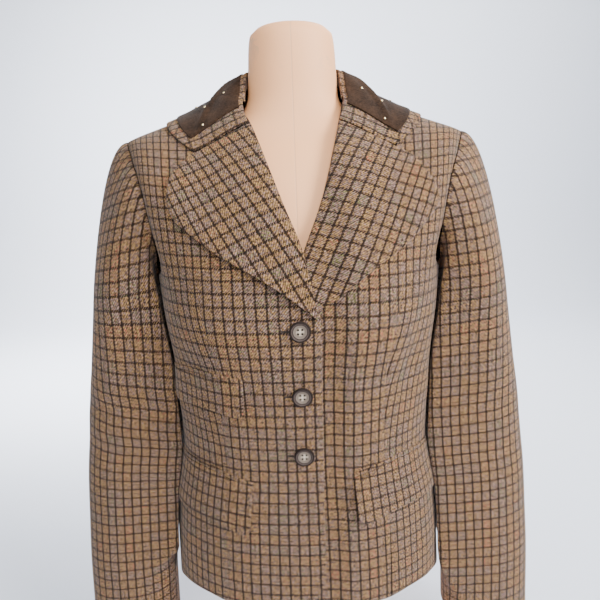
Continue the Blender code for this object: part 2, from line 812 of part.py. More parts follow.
for side, name in ((-1, "right"), (1, "left")):
    cloth_wall(f"front_{name}", front_face(side), 6, FRONT_ROWS, TWEED, tweed)
    cloth_wall(f"side_front_{name}", side_front_face(side), 4, SIDE_FRONT_ROWS, TWEED, tweed)
    cloth_wall(f"back_{name}", back_face(side), 7, FRONT_ROWS, TWEED, tweed)
    cloth_wall(f"lapel_{name}", lapel_face(side), 6, 16, DOUBLED_TWEED, tweed)
    cloth_wall(f"sleeve_upper_{name}", sleeve_upper_face(side), 14, 18, TWEED, tweed)
    cloth_wall(f"sleeve_under_{name}", sleeve_under_face(side), 4, 18, TWEED, tweed)

cloth_wall("collar_fall", collar_fall, FALL_COLUMNS, FALL_ROWS, DOUBLED_TWEED, tweed)
cloth_wall("collar_stand", collar_stand, 24, 2, TWEED, tweed)
patch_columns = FALL_COLUMNS - 2 * PATCH_END_COLUMNS
cloth_wall("collar_patch", collar_patch, patch_columns, FALL_ROWS - 2 * PATCH_EDGE_ROWS, SUEDE, suede)

for name, side, first, last, front_z, middle_z, back_z, depth in FLAPS:
    flap = flap_face(side, first, last, front_z, middle_z, back_z, depth)
    cloth_wall(name, flap, 14, 4, TWEED, tweed)
    jet = flap_face(side, first, last, front_z, middle_z, back_z, JET_DEPTH, JET_DEPTH + JET_GAP)
    cloth_wall(name.replace("flap", "jet"), jet, 14, 1, TWEED, tweed)

for row in range(BUTTON_COUNT):
    turn, rise = front_place(BUTTON_OFF_CENTRE, BUTTON_TOP_Z - row * BUTTON_SPACING)
    normal = body_normal(-1, turn, rise)
    add_button(f"button_{row + 1}", body_point(-1, turn, rise) + normal * BUTTON_GAP, normal, horn)

stud_profile = [
    (STUD_RADIUS * math.sin(math.radians(angle)), STUD_HEIGHT * math.cos(math.radians(angle)))
    for angle in (0, 30, 60, 90)
]
for side, name in ((-1, "right"), (1, "left")):
    for number, (along, across) in enumerate(STUDS):
        u = (along if side < 0 else 2 - along) / 2
        foot = collar_fall(u, across, STUD_FOOT)
        stud = turned(f"stud_{name}_{number + 1}", (*stud_profile, (0, 0)), 8, brass)
        seat(stud, foot, (collar_fall(u, across, 2 * STUD_FOOT) - foot).normalized())
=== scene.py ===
"""A woman's tweed hacking jacket, buttoned on a limbless dress form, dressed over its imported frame.

Metres, +Z up. The jacket faces -Y, and the wearer's right is the -X side (side -1 in the code).
A place on the jacket's body is its side, its turn in degrees from the centre front, and its rise:
0 at the hem, 1 at the underarm and 2 along the shoulder seam.
"""

import bisect
import math

import bmesh
import bpy
from mathutils import Matrix, Vector, noise


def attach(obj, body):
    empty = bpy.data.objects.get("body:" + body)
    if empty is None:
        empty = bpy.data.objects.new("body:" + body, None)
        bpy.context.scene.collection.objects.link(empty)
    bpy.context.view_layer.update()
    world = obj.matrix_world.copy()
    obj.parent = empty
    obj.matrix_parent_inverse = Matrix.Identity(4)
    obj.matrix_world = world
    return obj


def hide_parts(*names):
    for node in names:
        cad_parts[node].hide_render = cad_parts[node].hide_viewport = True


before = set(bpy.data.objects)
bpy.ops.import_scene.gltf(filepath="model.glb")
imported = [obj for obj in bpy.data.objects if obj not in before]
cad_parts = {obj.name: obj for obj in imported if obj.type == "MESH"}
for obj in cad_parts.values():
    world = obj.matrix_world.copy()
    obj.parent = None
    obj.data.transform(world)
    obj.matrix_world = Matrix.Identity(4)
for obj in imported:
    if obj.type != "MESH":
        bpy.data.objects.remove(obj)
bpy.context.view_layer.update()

# The room: a seamless pale backdrop that runs from the floor up into a wall behind the form, lit by
# large soft lamps. The nearest lights the form from the wearer's left, and two others wash the wall.
ROOM_COLOUR = (0.77, 0.81, 0.90)
ROOM_ROUGHNESS = 0.9
SKY_COLOUR = (0.93, 0.96, 1.0)
SKY_STRENGTH = 0.50
BACKDROP_HALF_WIDTH = 6.0
# distance behind the form, height
BACKDROP_LINE = (
    (-4.0, 0.0), (1.80, 0.0), (2.00, 0.020), (2.19, 0.080), (2.36, 0.180),
    (2.50, 0.32), (2.60, 0.48), (2.66, 0.66), (2.68, 4.0),
)
# name, place, point that it looks at, width, watts
LAMPS = (
    ("window", (1.25, -0.85, 1.35), (0.0, 0.0, 0.50), 0.7, 50.0),
    ("front_fill", (0.1, -1.6, 1.9), (0.0, 0.0, 0.60), 1.0, 41.0),
    ("wall_wash", (0.9, 0.9, 2.4), (0.4, 2.6, 0.9), 1.6, 62.0),
    ("low_wash", (-0.8, 0.9, 1.3), (-0.5, 2.6, 0.3), 1.2, 110.0),
    ("back_fill", (0.6, 1.7, 1.9), (0.0, 0.0, 0.50), 1.4, 12.0),
)
CAMERA_PLACE = (0.0, -0.572, 0.641)
CAMERA_DOWN = math.radians(12)
CAMERA_ROLL = math.radians(-2)
CAMERA_LENS = 27.6

backdrop_mesh = bpy.data.meshes.new("backdrop")
backdrop_mesh.from_pydata(
    [(x, y, z) for y, z in BACKDROP_LINE for x in (-BACKDROP_HALF_WIDTH, BACKDROP_HALF_WIDTH)],
    [],
    [(2 * i, 2 * i + 1, 2 * i + 3, 2 * i + 2) for i in range(len(BACKDROP_LINE) - 1)],
)
backdrop_mesh.shade_smooth()
backdrop = bpy.data.objects.new("backdrop", backdrop_mesh)
bpy.context.scene.collection.objects.link(backdrop)
room_paint = bpy.data.materials.new("room_paint")
room_paint.use_nodes = True
paint_shader = room_paint.node_tree.nodes["Principled BSDF"]
paint_shader.inputs["Base Color"].default_value = (*ROOM_COLOUR, 1)
paint_shader.inputs["Roughness"].default_value = ROOM_ROUGHNESS
backdrop_mesh.materials.append(room_paint)

for name, place, target, width, watts in LAMPS:
    lamp = bpy.data.objects.new(name, bpy.data.lights.new(name, "AREA"))
    lamp.data.shape = "SQUARE"
    lamp.data.size = width
    lamp.data.energy = watts
    lamp.location = place
    lamp.rotation_euler = (Vector(target) - Vector(place)).to_track_quat("-Z", "Y").to_euler()
    bpy.context.scene.collection.objects.link(lamp)

sky = bpy.data.worlds.new("room_light")
sky.use_nodes = True
sky_light = sky.node_tree.nodes["Background"]
sky_light.inputs["Color"].default_value = (*SKY_COLOUR, 1)
sky_light.inputs["Strength"].default_value = SKY_STRENGTH
bpy.context.scene.world = sky

camera = bpy.data.objects.new("camera", bpy.data.cameras.new("camera"))
camera.data.sensor_width = 36
camera.data.lens = CAMERA_LENS
camera.matrix_world = (
    Matrix.Translation(CAMERA_PLACE)
    @ Matrix.Rotation(math.pi / 2 - CAMERA_DOWN, 4, "X")
    @ Matrix.Rotation(CAMERA_ROLL, 4, "Z")
)
bpy.context.scene.collection.objects.link(camera)
bpy.context.scene.camera = camera


# The dress form: a hollow torso with a neck and no limbs, moulded in two halves in peach plastic with a
# matte skin, on its flat base. The halves meet in a faint line down the middle, and its neck is scuffed.
# height, half width, depth to the front, depth to the back
FORM_SECTIONS = (
    (0.000, 0.098, 0.090, 0.088),
    (0.130, 0.094, 0.086, 0.086),
    (0.170, 0.106, 0.091, 0.090),
    (0.215, 0.135, 0.096, 0.095),
    (0.260, 0.150, 0.098, 0.094),
    (0.362, 0.134, 0.100, 0.076),
    (0.440, 0.138, 0.107, 0.080),
    (0.520, 0.150, 0.115, 0.090),
    (0.560, 0.151, 0.115, 0.092),
    (0.600, 0.149, 0.107, 0.088),
    (0.640, 0.146, 0.095, 0.080),
    (0.680, 0.136, 0.077, 0.064),
    (0.712, 0.104, 0.055, 0.047),
    (0.738, 0.064, 0.045, 0.040),
    (0.760, 0.0520, 0.043, 0.040),
    (0.785, 0.0505, 0.044, 0.041),
    (0.808, 0.0490, 0.045, 0.044),
    (0.822, 0.0470, 0.044, 0.043),
    (0.828, 0.0410, 0.038, 0.037),
)
FORM_TOP_Z = 0.8295
FORM_SQUARENESS = 2.1
FORM_SIDES = 96
FORM_RINGS = 150
FORM_BASE_ROUNDING = 0.003
# The rings that close the form's top, as shares of its top rim
FORM_DOME = (0.94, 0.84, 0.68, 0.46, 0.22)
FORM_SKIN = ((0.30, (0.97, 0.475, 0.215)), (0.70, (1.0, 0.50, 0.235)))
# heights between which the scuffs fade in, their share and their colour
SCUFF_HEIGHTS = (0.775, 0.822)
SCUFF_SHARE = 0.55
SCUFF_COLOUR = (0.36, 0.28, 0.24, 1)
FORM_SEAM_SHARPNESS = 900.0
FORM_SEAM_SHARE = 0.30
FORM_SEAM_COLOUR = (0.42, 0.27, 0.20, 1)


def table(rows):
    """A smooth reader for a table: the first column is the key, and no column overshoots."""
    keys = [row[0] for row in rows]
    columns = list(zip(*rows))[1:]
    last = len(rows) - 1

    def slopes(values):
        steps = [(values[i + 1] - values[i]) / (keys[i + 1] - keys[i]) for i in range(last)]
        inner = [0.0 if a * b <= 0 else 2 * a * b / (a + b) for a, b in zip(steps, steps[1:])]
        return [steps[0], *inner, steps[-1]]

    tangents = [slopes(column) for column in columns]

    def read(key):
        key = min(max(key, keys[0]), keys[-1])
        i = min(max(sum(k <= key for k in keys) - 1, 0), last - 1)
        span = keys[i + 1] - keys[i]
        t = (key - keys[i]) / span
        rise = t * t * (3 - 2 * t)
        found = [
            c[i] + (c[i + 1] - c[i]) * rise + span * t * (1 - t) * (m[i] * (1 - t) - m[i + 1] * t)
            for c, m in zip(columns, tangents)
        ]
        return found[0] if len(found) == 1 else found

    return read


def mix(a, b, t):
    return a + (b - a) * t


def ease(low, high, value):
    """0 below low, 1 above high, and smooth between them."""
    t = min(max((value - low) / (high - low), 0.0), 1.0)
    return t * t * (3 - 2 * t)


def node(tree, kind, inputs=(), **settings):
    """A shader node with its settings made, and each input filled with a value or linked."""
    made = tree.nodes.new(kind)
    for name, value in settings.items():
        setattr(made, name, value)
    for key, value in dict(inputs).items():
        if isinstance(value, bpy.types.NodeSocket):
            tree.links.new(value, made.inputs[key])
        else:
            made.inputs[key].default_value = value
    return made


def maths(tree, operation, *values):
    return node(tree, "ShaderNodeMath", enumerate(values), operation=operation).outputs[0]


def vector_maths(tree, operation, inputs, output="Vector"):
    return node(tree, "ShaderNodeVectorMath", inputs, operation=operation).outputs[output]


def colour_mix(tree, share, a, b, blend="MIX"):
    inputs = {"Factor": share, 6: a, 7: b}
    return node(tree, "ShaderNodeMix", inputs, data_type="RGBA", blend_type=blend).outputs[2]


def colour_ramp(tree, value, stops, interpolation="LINEAR"):
    """A colour ramp: stops are places and colours."""
    ramp = node(tree, "ShaderNodeValToRGB", {"Fac": value})
    ramp.color_ramp.interpolation = interpolation
    while len(ramp.color_ramp.elements) < len(stops):
        ramp.color_ramp.elements.new(1.0)
    for element, (place, colour) in zip(ramp.color_ramp.elements, stops):
        element.position = place
        element.color = (*colour, 1)
    return ramp.outputs[0]


def object_place(tree):
    return node(tree, "ShaderNodeTexCoord").outputs["Object"]


def speckle(tree, place, scale, detail=2.0):
    """Smooth noise from 0 to 1 over a place in metres."""
    return node(tree, "ShaderNodeTexNoise", {"Vector": place, "Scale": scale, "Detail": detail}).outputs["Fac"]


def finish(name, roughness, metallic=0.0):
    """A new material, with its node tree and its shader."""
    material = bpy.data.materials.new(name)
    material.use_nodes = True
    shader = material.node_tree.nodes["Principled BSDF"]
    shader.inputs["Roughness"].default_value = roughness
    shader.inputs["Metallic"].default_value = metallic
    return material, material.node_tree, shader


def bump(tree, shader, height, distance, strength=1.0):
    made = node(tree, "ShaderNodeBump", {"Height": height, "Strength": strength, "Distance": distance})
    tree.links.new(made.outputs[0], shader.inputs["Normal"])


def add_piece(name, mesh, material, slot, *nodes):
    """A piece of the object that rides on the one body, in place of the frame's nodes."""
    mesh.materials.append(material)
    mesh.shade_smooth()
    piece = bpy.data.objects.new(name, mesh)
    bpy.context.scene.collection.objects.link(piece)
    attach(piece, "root")
    if nodes:
        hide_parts(*nodes)
    return piece


form_section = table(FORM_SECTIONS)
rings = []
for step in range(FORM_RINGS + 1):
    height = FORM_SECTIONS[-1][0] * step / FORM_RINGS
    wide, front, back = form_section(height)
    tuck = FORM_BASE_ROUNDING - math.sqrt(
        max(FORM_BASE_ROUNDING**2 - max(FORM_BASE_ROUNDING - height, 0.0) ** 2, 0.0)
    )
    ring = []
    for spoke in range(FORM_SIDES):
        angle = 2 * math.pi * spoke / FORM_SIDES
        x, y = math.sin(angle), -math.cos(angle)
        reach = (abs(x) ** FORM_SQUARENESS + abs(y) ** FORM_SQUARENESS) ** (-1 / FORM_SQUARENESS)
        depth = front if y < 0 else back
        ring.append((x * (wide - tuck) * reach, y * reach * (depth - tuck), height))
    rings.append(ring)
top_rim = rings[-1]
for share in FORM_DOME:
    dome = mix(FORM_SECTIONS[-1][0], FORM_TOP_Z, 1 - share**2)
    rings.append([(x * share, y * share, dome) for x, y, _ in top_rim])
form_mesh = bpy.data.meshes.new("form_torso")
points = [point for ring in rings for point in ring] + [(0, 0, FORM_TOP_Z)]
faces = [tuple(reversed(range(FORM_SIDES)))]
for row in range(len(rings) - 1):
    for spoke in range(FORM_SIDES):
        a, b = row * FORM_SIDES + spoke, row * FORM_SIDES + (spoke + 1) % FORM_SIDES
        faces.append((a, b, b + FORM_SIDES, a + FORM_SIDES))
last_ring = (len(rings) - 1) * FORM_SIDES
faces += [
    (last_ring + spoke, last_ring + (spoke + 1) % FORM_SIDES, len(points) - 1)
    for spoke in range(FORM_SIDES)
]
form_mesh.from_pydata(points, [], faces)

form_skin, tree, shader = finish("form_skin_matte", 0.58)
place = object_place(tree)
parts = node(tree, "ShaderNodeSeparateXYZ", {0: place})
across, height = parts.outputs["X"], parts.outputs["Z"]
off_seam = maths(tree, "MULTIPLY", maths(tree, "ABSOLUTE", across), FORM_SEAM_SHARPNESS)
seam = maths(tree, "MAXIMUM", maths(tree, "SUBTRACT", 1.0, off_seam), 0.0)
scuff_from, scuff_full = SCUFF_HEIGHTS
heights = {"Value": height, "From Min": scuff_from, "From Max": scuff_full}
high = node(tree, "ShaderNodeMapRange", heights).outputs[0]
blotches = speckle(tree, place, 26.0, 5.0)
scuffs = maths(tree, "MULTIPLY", maths(tree, "GREATER_THAN", blotches, 0.60), high)
scuffs = maths(tree, "MULTIPLY", scuffs, speckle(tree, place, 180.0, 4.0))
skin = colour_ramp(tree, speckle(tree, place, 9.0, 3.0), FORM_SKIN)
skin = colour_mix(tree, maths(tree, "MULTIPLY", scuffs, SCUFF_SHARE), skin, SCUFF_COLOUR)
skin = colour_mix(tree, maths(tree, "MULTIPLY", seam, FORM_SEAM_SHARE), skin, FORM_SEAM_COLOUR)
tree.links.new(skin, shader.inputs["Base Color"])
grit = maths(tree, "SUBTRACT", speckle(tree, place, 1400.0, 3.0), maths(tree, "MULTIPLY", seam, 2.0))
bump(tree, shader, grit, 0.0002, 0.35)
add_piece("form_torso", form_mesh, form_skin, "form_skin", "dress_form")


# The body of the jacket is wool tweed, cut in pieces along the weave and sewn edge to edge. Its shape
# comes from level sections below the underarm and from the fall of the shoulders above it.
TWEED = 0.0018
DOUBLED_TWEED = 0.0024
LAID_GAP = 0.0008
SEAM_TURN = 0.02
HEM_Z = 0.148
UNDERARM_Z = 0.555
SHOULDER_X = 0.198
SHOULDER_Z = 0.714
SHOULDER_SLOPE = math.radians(21)
CREST_WIDTH = 0.205
CREST_SQUARENESS = 3.6
# How fast the chest and the back close in to the shoulder seam: at the neck and at the shoulder point
CREST_BEND_FRONT = (1.40, 0.85)
CREST_BEND_BACK = (1.15, 0.85)
SHOULDER_SEAM_HALF_GAP = 0.0004
# height, half width, depth to the front, depth to the back, squareness
BODY_SECTIONS = (
    (0.100, 0.180, 0.116, 0.114, 2.3),
    (0.200, 0.177, 0.117, 0.117, 2.3),
    (0.280, 0.170, 0.117, 0.110, 2.3),
    (0.362, 0.157, 0.119, 0.092, 2.3),
    (0.440, 0.157, 0.126, 0.096, 2.3),
    (0.520, 0.165, 0.133, 0.106, 2.3),
    (0.560, 0.168, 0.132, 0.108, 2.3),
)
# turn, height of the hem above its level at the back
HEM_LIFT = ((-12, 0.022), (30, 0.022), (45, 0.026), (60, 0.023), (75, 0.012), (90, 0.004), (180, 0.0))
# rise, turn of the seam from the armhole down over the bust
PRINCESS_SEAM = ((0, 33), (0.5, 34.5), (0.8, 34), (0.92, 35), (1.0, 40), (1.08, 50), (1.2, 65))
# rise, turn of the armhole's front edge, turn of its back edge
ARMHOLE = (
    (1.00, 90, 90),
    (1.03, 80, 100),
    (1.08, 72, 106),
    (1.20, 65, 110),
    (1.32, 65.5, 110),
    (1.45, 69, 107),
    (1.57, 74.5, 104),
    (1.70, 76.5, 103),
    (1.85, 74.5, 105),
    (2.00, 71.5, 108.5),
)
# The bust, on each side: turn, height, spread in degrees, half height, depth outwards
BUST = (34, 0.520, 22, 0.060, 0.0060)
# Soft folds: side, turn, height, spread in degrees, half length, degrees of tilt per metre, depth
BODY_FOLDS = (
    (-1, 58, 0.610, 7, 0.060, 60, 0.0030),
    (1, 56, 0.600, 7, 0.055, 60, 0.0024),
    (-1, 66, 0.430, 9, 0.070, -60, 0.0030),
    (1, 66, 0.440, 9, 0.065, -60, 0.0034),
    (-1, 30, 0.400, 9, 0.075, 40, 0.0020),
    (1, 48, 0.470, 6, 0.060, 50, -0.0024),
    (-1, 125, 0.420, 10, 0.080, 50, 0.0030),
    (1, 128, 0.410, 10, 0.085, 50, 0.0028),
    (-1, 150, 0.230, 10, 0.090, 0, 0.0030),
    (1, 146, 0.240, 11, 0.090, 0, 0.0032),
)
# Creases, which the frame's plainer walls leave out: the same columns
BODY_CREASES = (
    (-1, 70, 0.585, 4.0, 0.040, 150, -0.0012),
    (1, 68, 0.580, 4.0, 0.040, 150, -0.0011),
    (-1, 50, 0.450, 6.0, 0.050, -90, -0.0007),
    (-1, 74, 0.395, 4.5, 0.045, 120, -0.0012),
    (1, 74, 0.405, 4.5, 0.040, 130, -0.0012),
    (1, 38, 0.400, 4.0, 0.060, -60, -0.0008),
    (-1, 60, 0.225, 5.0, 0.050, -20, 0.0011),
    (1, 57, 0.230, 5.0, 0.055, 10, 0.0010),
    (-1, 14, 0.235, 5.0, 0.055, 10, -0.0007),
    (-1, 108, 0.500, 5.0, 0.060, 120, -0.0012),
    (1, 112, 0.490, 5.0, 0.060, 120, -0.0012),
    (-1, 158, 0.395, 5.0, 0.030, 260, -0.0010),
    (1, 154, 0.385, 5.0, 0.034, 240, -0.0010),
    (-1, 135, 0.610, 6.0, 0.060, 40, -0.0011),
    (1, 138, 0.600, 6.0, 0.060, 40, -0.0010),
)
# The gentle unevenness of steamed wool: size of its waves, and how far it stands out
UNEVEN_WAVE = 0.055
UNEVEN_DEPTH = 0.0006

body_section = table(BODY_SECTIONS)
hem_lift = table(HEM_LIFT)
princess_turn = table(PRINCESS_SEAM)
armhole_turns = table(ARMHOLE)


def hem_at(turn):
    return HEM_Z + hem_lift(turn)


def shoulder_z(across):
    return SHOULDER_Z + (SHOULDER_X - across) * math.tan(SHOULDER_SLOPE)


def crest_bend(turn):
    neck, shoulder = CREST_BEND_FRONT if abs(turn) < 90 else CREST_BEND_BACK
    return mix(neck, shoulder, ease(25, 72, min(abs(turn), 180 - abs(turn))))


def section_fall(share, power):
    """How deep a level section still is, as a share, this far across it."""
    return max(1 - abs(share) ** power, 0.0) ** (1 / power)


def half_width(rise, turn=30):
    if rise <= 1:
        return body_section(mix(hem_at(turn), UNDERARM_Z, rise))[0]
    return mix(body_section(UNDERARM_Z)[0], CREST_WIDTH, (rise - 1) ** 1.5)


def puff(side, turn, height):
    """How far the bust and the soft folds stand out of the plain sections."""
    bust_turn, bust_z, spread, tall, depth = BUST
    out = depth * math.exp(-(((turn - bust_turn) / spread) ** 2) - ((height - bust_z) / tall) ** 2)
    for fold_side, fold_turn, z, wide, long, tilt, deep in BODY_FOLDS + BODY_CREASES:
        if fold_side == side and abs(height - z) < 3 * long:
            along = (height - z) / long
            off = (turn - fold_turn - tilt * (height - z)) / wide
            out += deep * math.exp(-off * off - along * along)
    return out


def body_point(side, turn, rise):
    """A point of the jacket's outer face."""
    height = mix(hem_at(abs(turn)), UNDERARM_Z, min(rise, 1))
    _, front, back, power = body_section(height)
    power = mix(power, CREST_SQUARENESS, ease(1.0, 1.5, rise))
    share = math.sin(math.radians(turn))
    across = share * half_width(rise, abs(turn))
    depth = section_fall(share, power) * (-front if abs(turn) < 90 else back)
    if rise > 1:
        climb = math.radians(90 * (rise - 1))
        bend = crest_bend(turn)
        height = mix(UNDERARM_Z, shoulder_z(abs(across)), math.sin(climb) ** bend)
        depth *= max(math.cos(climb), 0.0) ** bend
    wave = noise.noise(Vector((across * side, depth, height)) / UNEVEN_WAVE) * UNEVEN_DEPTH
    out = (puff(side, turn, height) + wave) * (1 - ease(1.6, 2.0, rise))
    away = Vector((share, -math.cos(math.radians(turn)), 0)) * out
    return Vector(((across + away.x) * side, depth + away.y, height))


def rise_at(turn, height):
    """The rise of a height below the underarm."""
    return (height - hem_at(turn)) / (UNDERARM_Z - hem_at(turn))


def turn_at(across, rise, back=False):
    turn = math.degrees(math.asin(max(min(across / half_width(rise), 1), -1)))
    return 180 - turn if back else turn


def seam_rise(turn):
    """The rise at which a front or a back stops, a little before the shoulder seam."""
    _, front, back, _ = body_section(UNDERARM_Z)
    reach = section_fall(math.sin(math.radians(turn)), CREST_SQUARENESS) * (front if turn < 90 else back)
    return 1 + math.degrees(math.acos((SHOULDER_SEAM_HALF_GAP / reach) ** (1 / crest_bend(turn)))) / 90


def body_normal(side, turn, rise):
    """The body's outward normal, by small steps."""
    low, high = max(rise - 0.004, 0.0), min(rise + 0.004, 2.0)
    around = body_point(side, turn + 0.4, rise) - body_point(side, turn - 0.4, rise)
    up = body_point(side, turn, high) - body_point(side, turn, low)
    return around.cross(up).normalized() * side


# The radius that turns become lengths of cloth with
WEAVE_RADIUS = 0.160
# How much of the fall back to the shoulder counts as length of cloth
WEAVE_FALL = 0.5


def body_weave(side, turn, rise):
    """How far across and up the weave a place on the body lies, in metres."""
    height = body_point(side, turn, rise).z
    if rise > 1:
        _, front, back, _ = body_section(UNDERARM_Z)
        gone = 1 - max(math.cos(math.radians(90 * (rise - 1))), 0.0) ** crest_bend(turn)
        height += WEAVE_FALL * gone * (front if turn < 90 else back)
    return side * WEAVE_RADIUS * math.radians(turn), height


def shares(length, spacing, edge):
    """Shares of a length from 0 to 1, evenly spaced, and one more close to each end."""
    count = max(round(length / spacing), 2)
    near = edge / length
    return [0.0, *(mix(near, 1 - near, i / count) for i in range(count + 1)), 1.0]


def below_neck(point):
    return Vector((0, 0, point.z - 0.05))


def grid_normals(points, inside):
    """The normals of a grid of points, all on the side that faces away from the inside."""
    rows, columns = len(points), len(points[0])
    normals, total = [], 0.0
    for r in range(rows):
        line = []
        for c in range(columns):
            along = points[r][min(c + 1, columns - 1)] - points[r][max(c - 1, 0)]
            up = points[min(r + 1, rows - 1)][c] - points[max(r - 1, 0)][c]
            normal = along.cross(up).normalized()
            total += normal.dot((points[r][c] - inside(points[r][c])).normalized())
            line.append(normal)
        normals.append(line)
    if total < 0:
        normals = [[-normal for normal in line] for line in normals]
    return normals


def length_along(points):
    """The length of a line of points up to each of them."""
    found = [0.0]
    for a, b in zip(points, points[1:]):
        found.append(found[-1] + (b - a).length)
    return found


def strip_weave(points):
    """A strip's place on the weave: along its middle row from one end, and up its columns."""
    along = length_along(points[len(points) // 2])
    columns = [length_along([row[c] for row in points]) for c in range(len(along))]
    return [[(along[c], -columns[c][r]) for c in range(len(along))] for r in range(len(points))]


LEVELS = 160
# How much of the slope of a sleeve's head counts as height
HEAD_SLOPE = 0.35


def level_weave(points, tilt):
    """A sleeve's place on the weave: up its height, and across along level lines from its middle column.

    tilt reads, from a height, how much the level lines climb on the weave as they go round.
    """
    rows, columns = len(points), len(points[0])
    middle = columns // 2
    heights = [[-row[c].z for row in points] for c in range(columns)]
    slope = length_along([row[middle] for row in points])

    def at_height(c, z):
        r = min(max(bisect.bisect_left(heights[c], -z), 1), rows - 1)
        high, low = points[r - 1][c], points[r][c]
        share = (high.z - z) / max(high.z - low.z, 1e-6)
        return high.lerp(low, min(max(share, 0.0), 1.0)), r - 1 + min(max(share, 0.0), 1.0)

    top, bottom = max(-min(line) for line in heights), min(-max(line) for line in heights)
    arcs, climbs = [], []
    for level in range(LEVELS + 1):
        z = mix(bottom, top, level / LEVELS)
        line = [at_height(c, z)[0] for c in range(columns)]
        arc = length_along(line)
        arcs.append([length - arc[middle] for length in arc])
        row = at_height(middle, z)[1]
        fallen = mix(slope[int(row)], slope[min(int(row) + 1, rows - 1)], row - int(row))
        climbs.append(mix(z, slope[-1] - fallen + bottom, HEAD_SLOPE))

    def read(values, z):
        place = (z - bottom) / (top - bottom) * LEVELS
        low = min(int(place), LEVELS - 1)
        return mix(values(low), values(low + 1), place - low)

    found = []
    for row in points:
        line = []
        for c, point in enumerate(row):
            across = read(lambda level: arcs[level][c], point.z)
            line.append((across, read(lambda level: climbs[level], point.z) - tilt(point.z) * across))
        found.append(line)
    return found


# Distance between a piece's points: as a rule, on the fronts, on what is folded and on small pieces
CLOTH_SPACING = 0.004
FRONT_SPACING = 0.0036
FOLDED_SPACING = 0.0032
SMALL_SPACING = 0.0028
TURNED_EDGE = 0.0009
EDGE_SHARE = 0.25


def cloth(
    part, face, weave, size, thickness, material, slot,
    inside=below_neck, spacing=CLOTH_SPACING, measured=False,
):
    """A closed shell of cloth over a face, with turned edges and its place on the weave in metres.

    part is the frame's node that it replaces, and the piece's name is its slot's and its part's. face
    is a function of two shares, and size is about how wide and how tall the piece is. weave is a
    function of two shares too, or of the whole grid of points when it is measured on them.
    """
    across, up = (shares(length, spacing, TURNED_EDGE) for length in size)
    points = [[face(u, v) for u in across] for v in up]
    normals = grid_normals(points, inside)
    places = weave(points) if measured else [[weave(u, v) for u in across] for v in up]
    rows, columns = len(up), len(across)
    outer, inner = [], []
    for r in range(rows):
        for c in range(columns):
            rim = r in (0, rows - 1) or c in (0, columns - 1)
            tuck = thickness * (EDGE_SHARE if rim else 0)
            outer.append(points[r][c] - normals[r][c] * tuck)
            inner.append(points[r][c] - normals[r][c] * (thickness - tuck))
    under = rows * columns
    faces = []
    for r in range(rows - 1):
        for c in range(columns - 1):
            a = r * columns + c
            quad = (a, a + 1, a + columns + 1, a + columns)
            faces += [quad, tuple(i + under for i in reversed(quad))]
    rim = list(range(columns - 1))
    rim += [r * columns + columns - 1 for r in range(rows - 1)]
    rim += [(rows - 1) * columns + c for c in range(columns - 1, 0, -1)]
    rim += [r * columns for r in range(rows - 1, 0, -1)]
    faces += [(b, a, a + under, b + under) for a, b in zip(rim, rim[1:] + rim[:1])]
    name = f"{slot}_{part}"
    mesh = bpy.data.meshes.new(name)
    mesh.from_pydata(outer + inner, [], faces)
    layer = mesh.uv_layers.new(name="weave")
    flat_places = [place for line in places for place in line]
    for loop in mesh.loops:
        layer.data[loop.index].uv = flat_places[loop.vertex_index % under]
    build = bmesh.new()
    build.from_mesh(mesh)
    bmesh.ops.recalc_face_normals(build, faces=build.faces)
    build.to_mesh(mesh)
    build.free()
    return add_piece(name, mesh, material, slot, part)


# The check repeats every 10.8 mm across and 13.5 mm up. Dark lines a fifth of that wide cross a ground
# of many heather colours, in a twill that gives the lines their toothed edges.
CHECK_ACROSS = 0.0108
CHECK_UP = 0.0135
TWILLS_A_CHECK = 4
WARP_LINE = 0.215
WEFT_LINE = 0.205
# share of each twill that is dark, in the lines up the cloth and in those across it
WARP_DARK = 0.80
WEFT_DARK = 0.62
HEATHER = (
    (0.16, (0.124, 0.104, 0.040)),
    (0.32, (0.160, 0.101, 0.094)),
    (0.46, (0.170, 0.095, 0.056)),
    (0.60, (0.206, 0.124, 0.038)),
    (0.72, (0.186, 0.102, 0.068)),
    (0.85, (0.244, 0.076, 0.036)),
)
DARK_YARN = ((0.30, (0.020, 0.009, 0.004)), (0.70, (0.008, 0.006, 0.005)))
# size of a tuft of wool in waves a metre, and how much lighter or darker it makes the cloth
TUFTS = 420.0
TUFT_SHARE = 4.0
# The same for the mottling of the heather colours, and for the fuzz: on the twill, and on the relief
MOTTLES = 380.0
MOTTLE_SHARE = 1.5
FUZZ = 1500.0
FUZZ_TWILL = 0.15
FUZZ_RELIEF = 0.8
# How far the threads wander, and in how many waves a metre
WANDER = 0.0012
WANDER_WAVES = 90.0
# A cell's place among the heather colours: where they start, and the shares of the cell and of its lines
HEATHER_FROM = 0.21
CELL_SHARE = 0.26
LINE_SHARE = 0.14
# The twill's painted shade, darker in its hollows and lighter on its ribs: the colour in its hollows, how much
# lighter its ribs are, and at the darkest
SHADE_FROM = 0.45
SHADE_RIBS = 2.2
SHADE_LEAST = 0.12
DARK_SHARE = 0.97

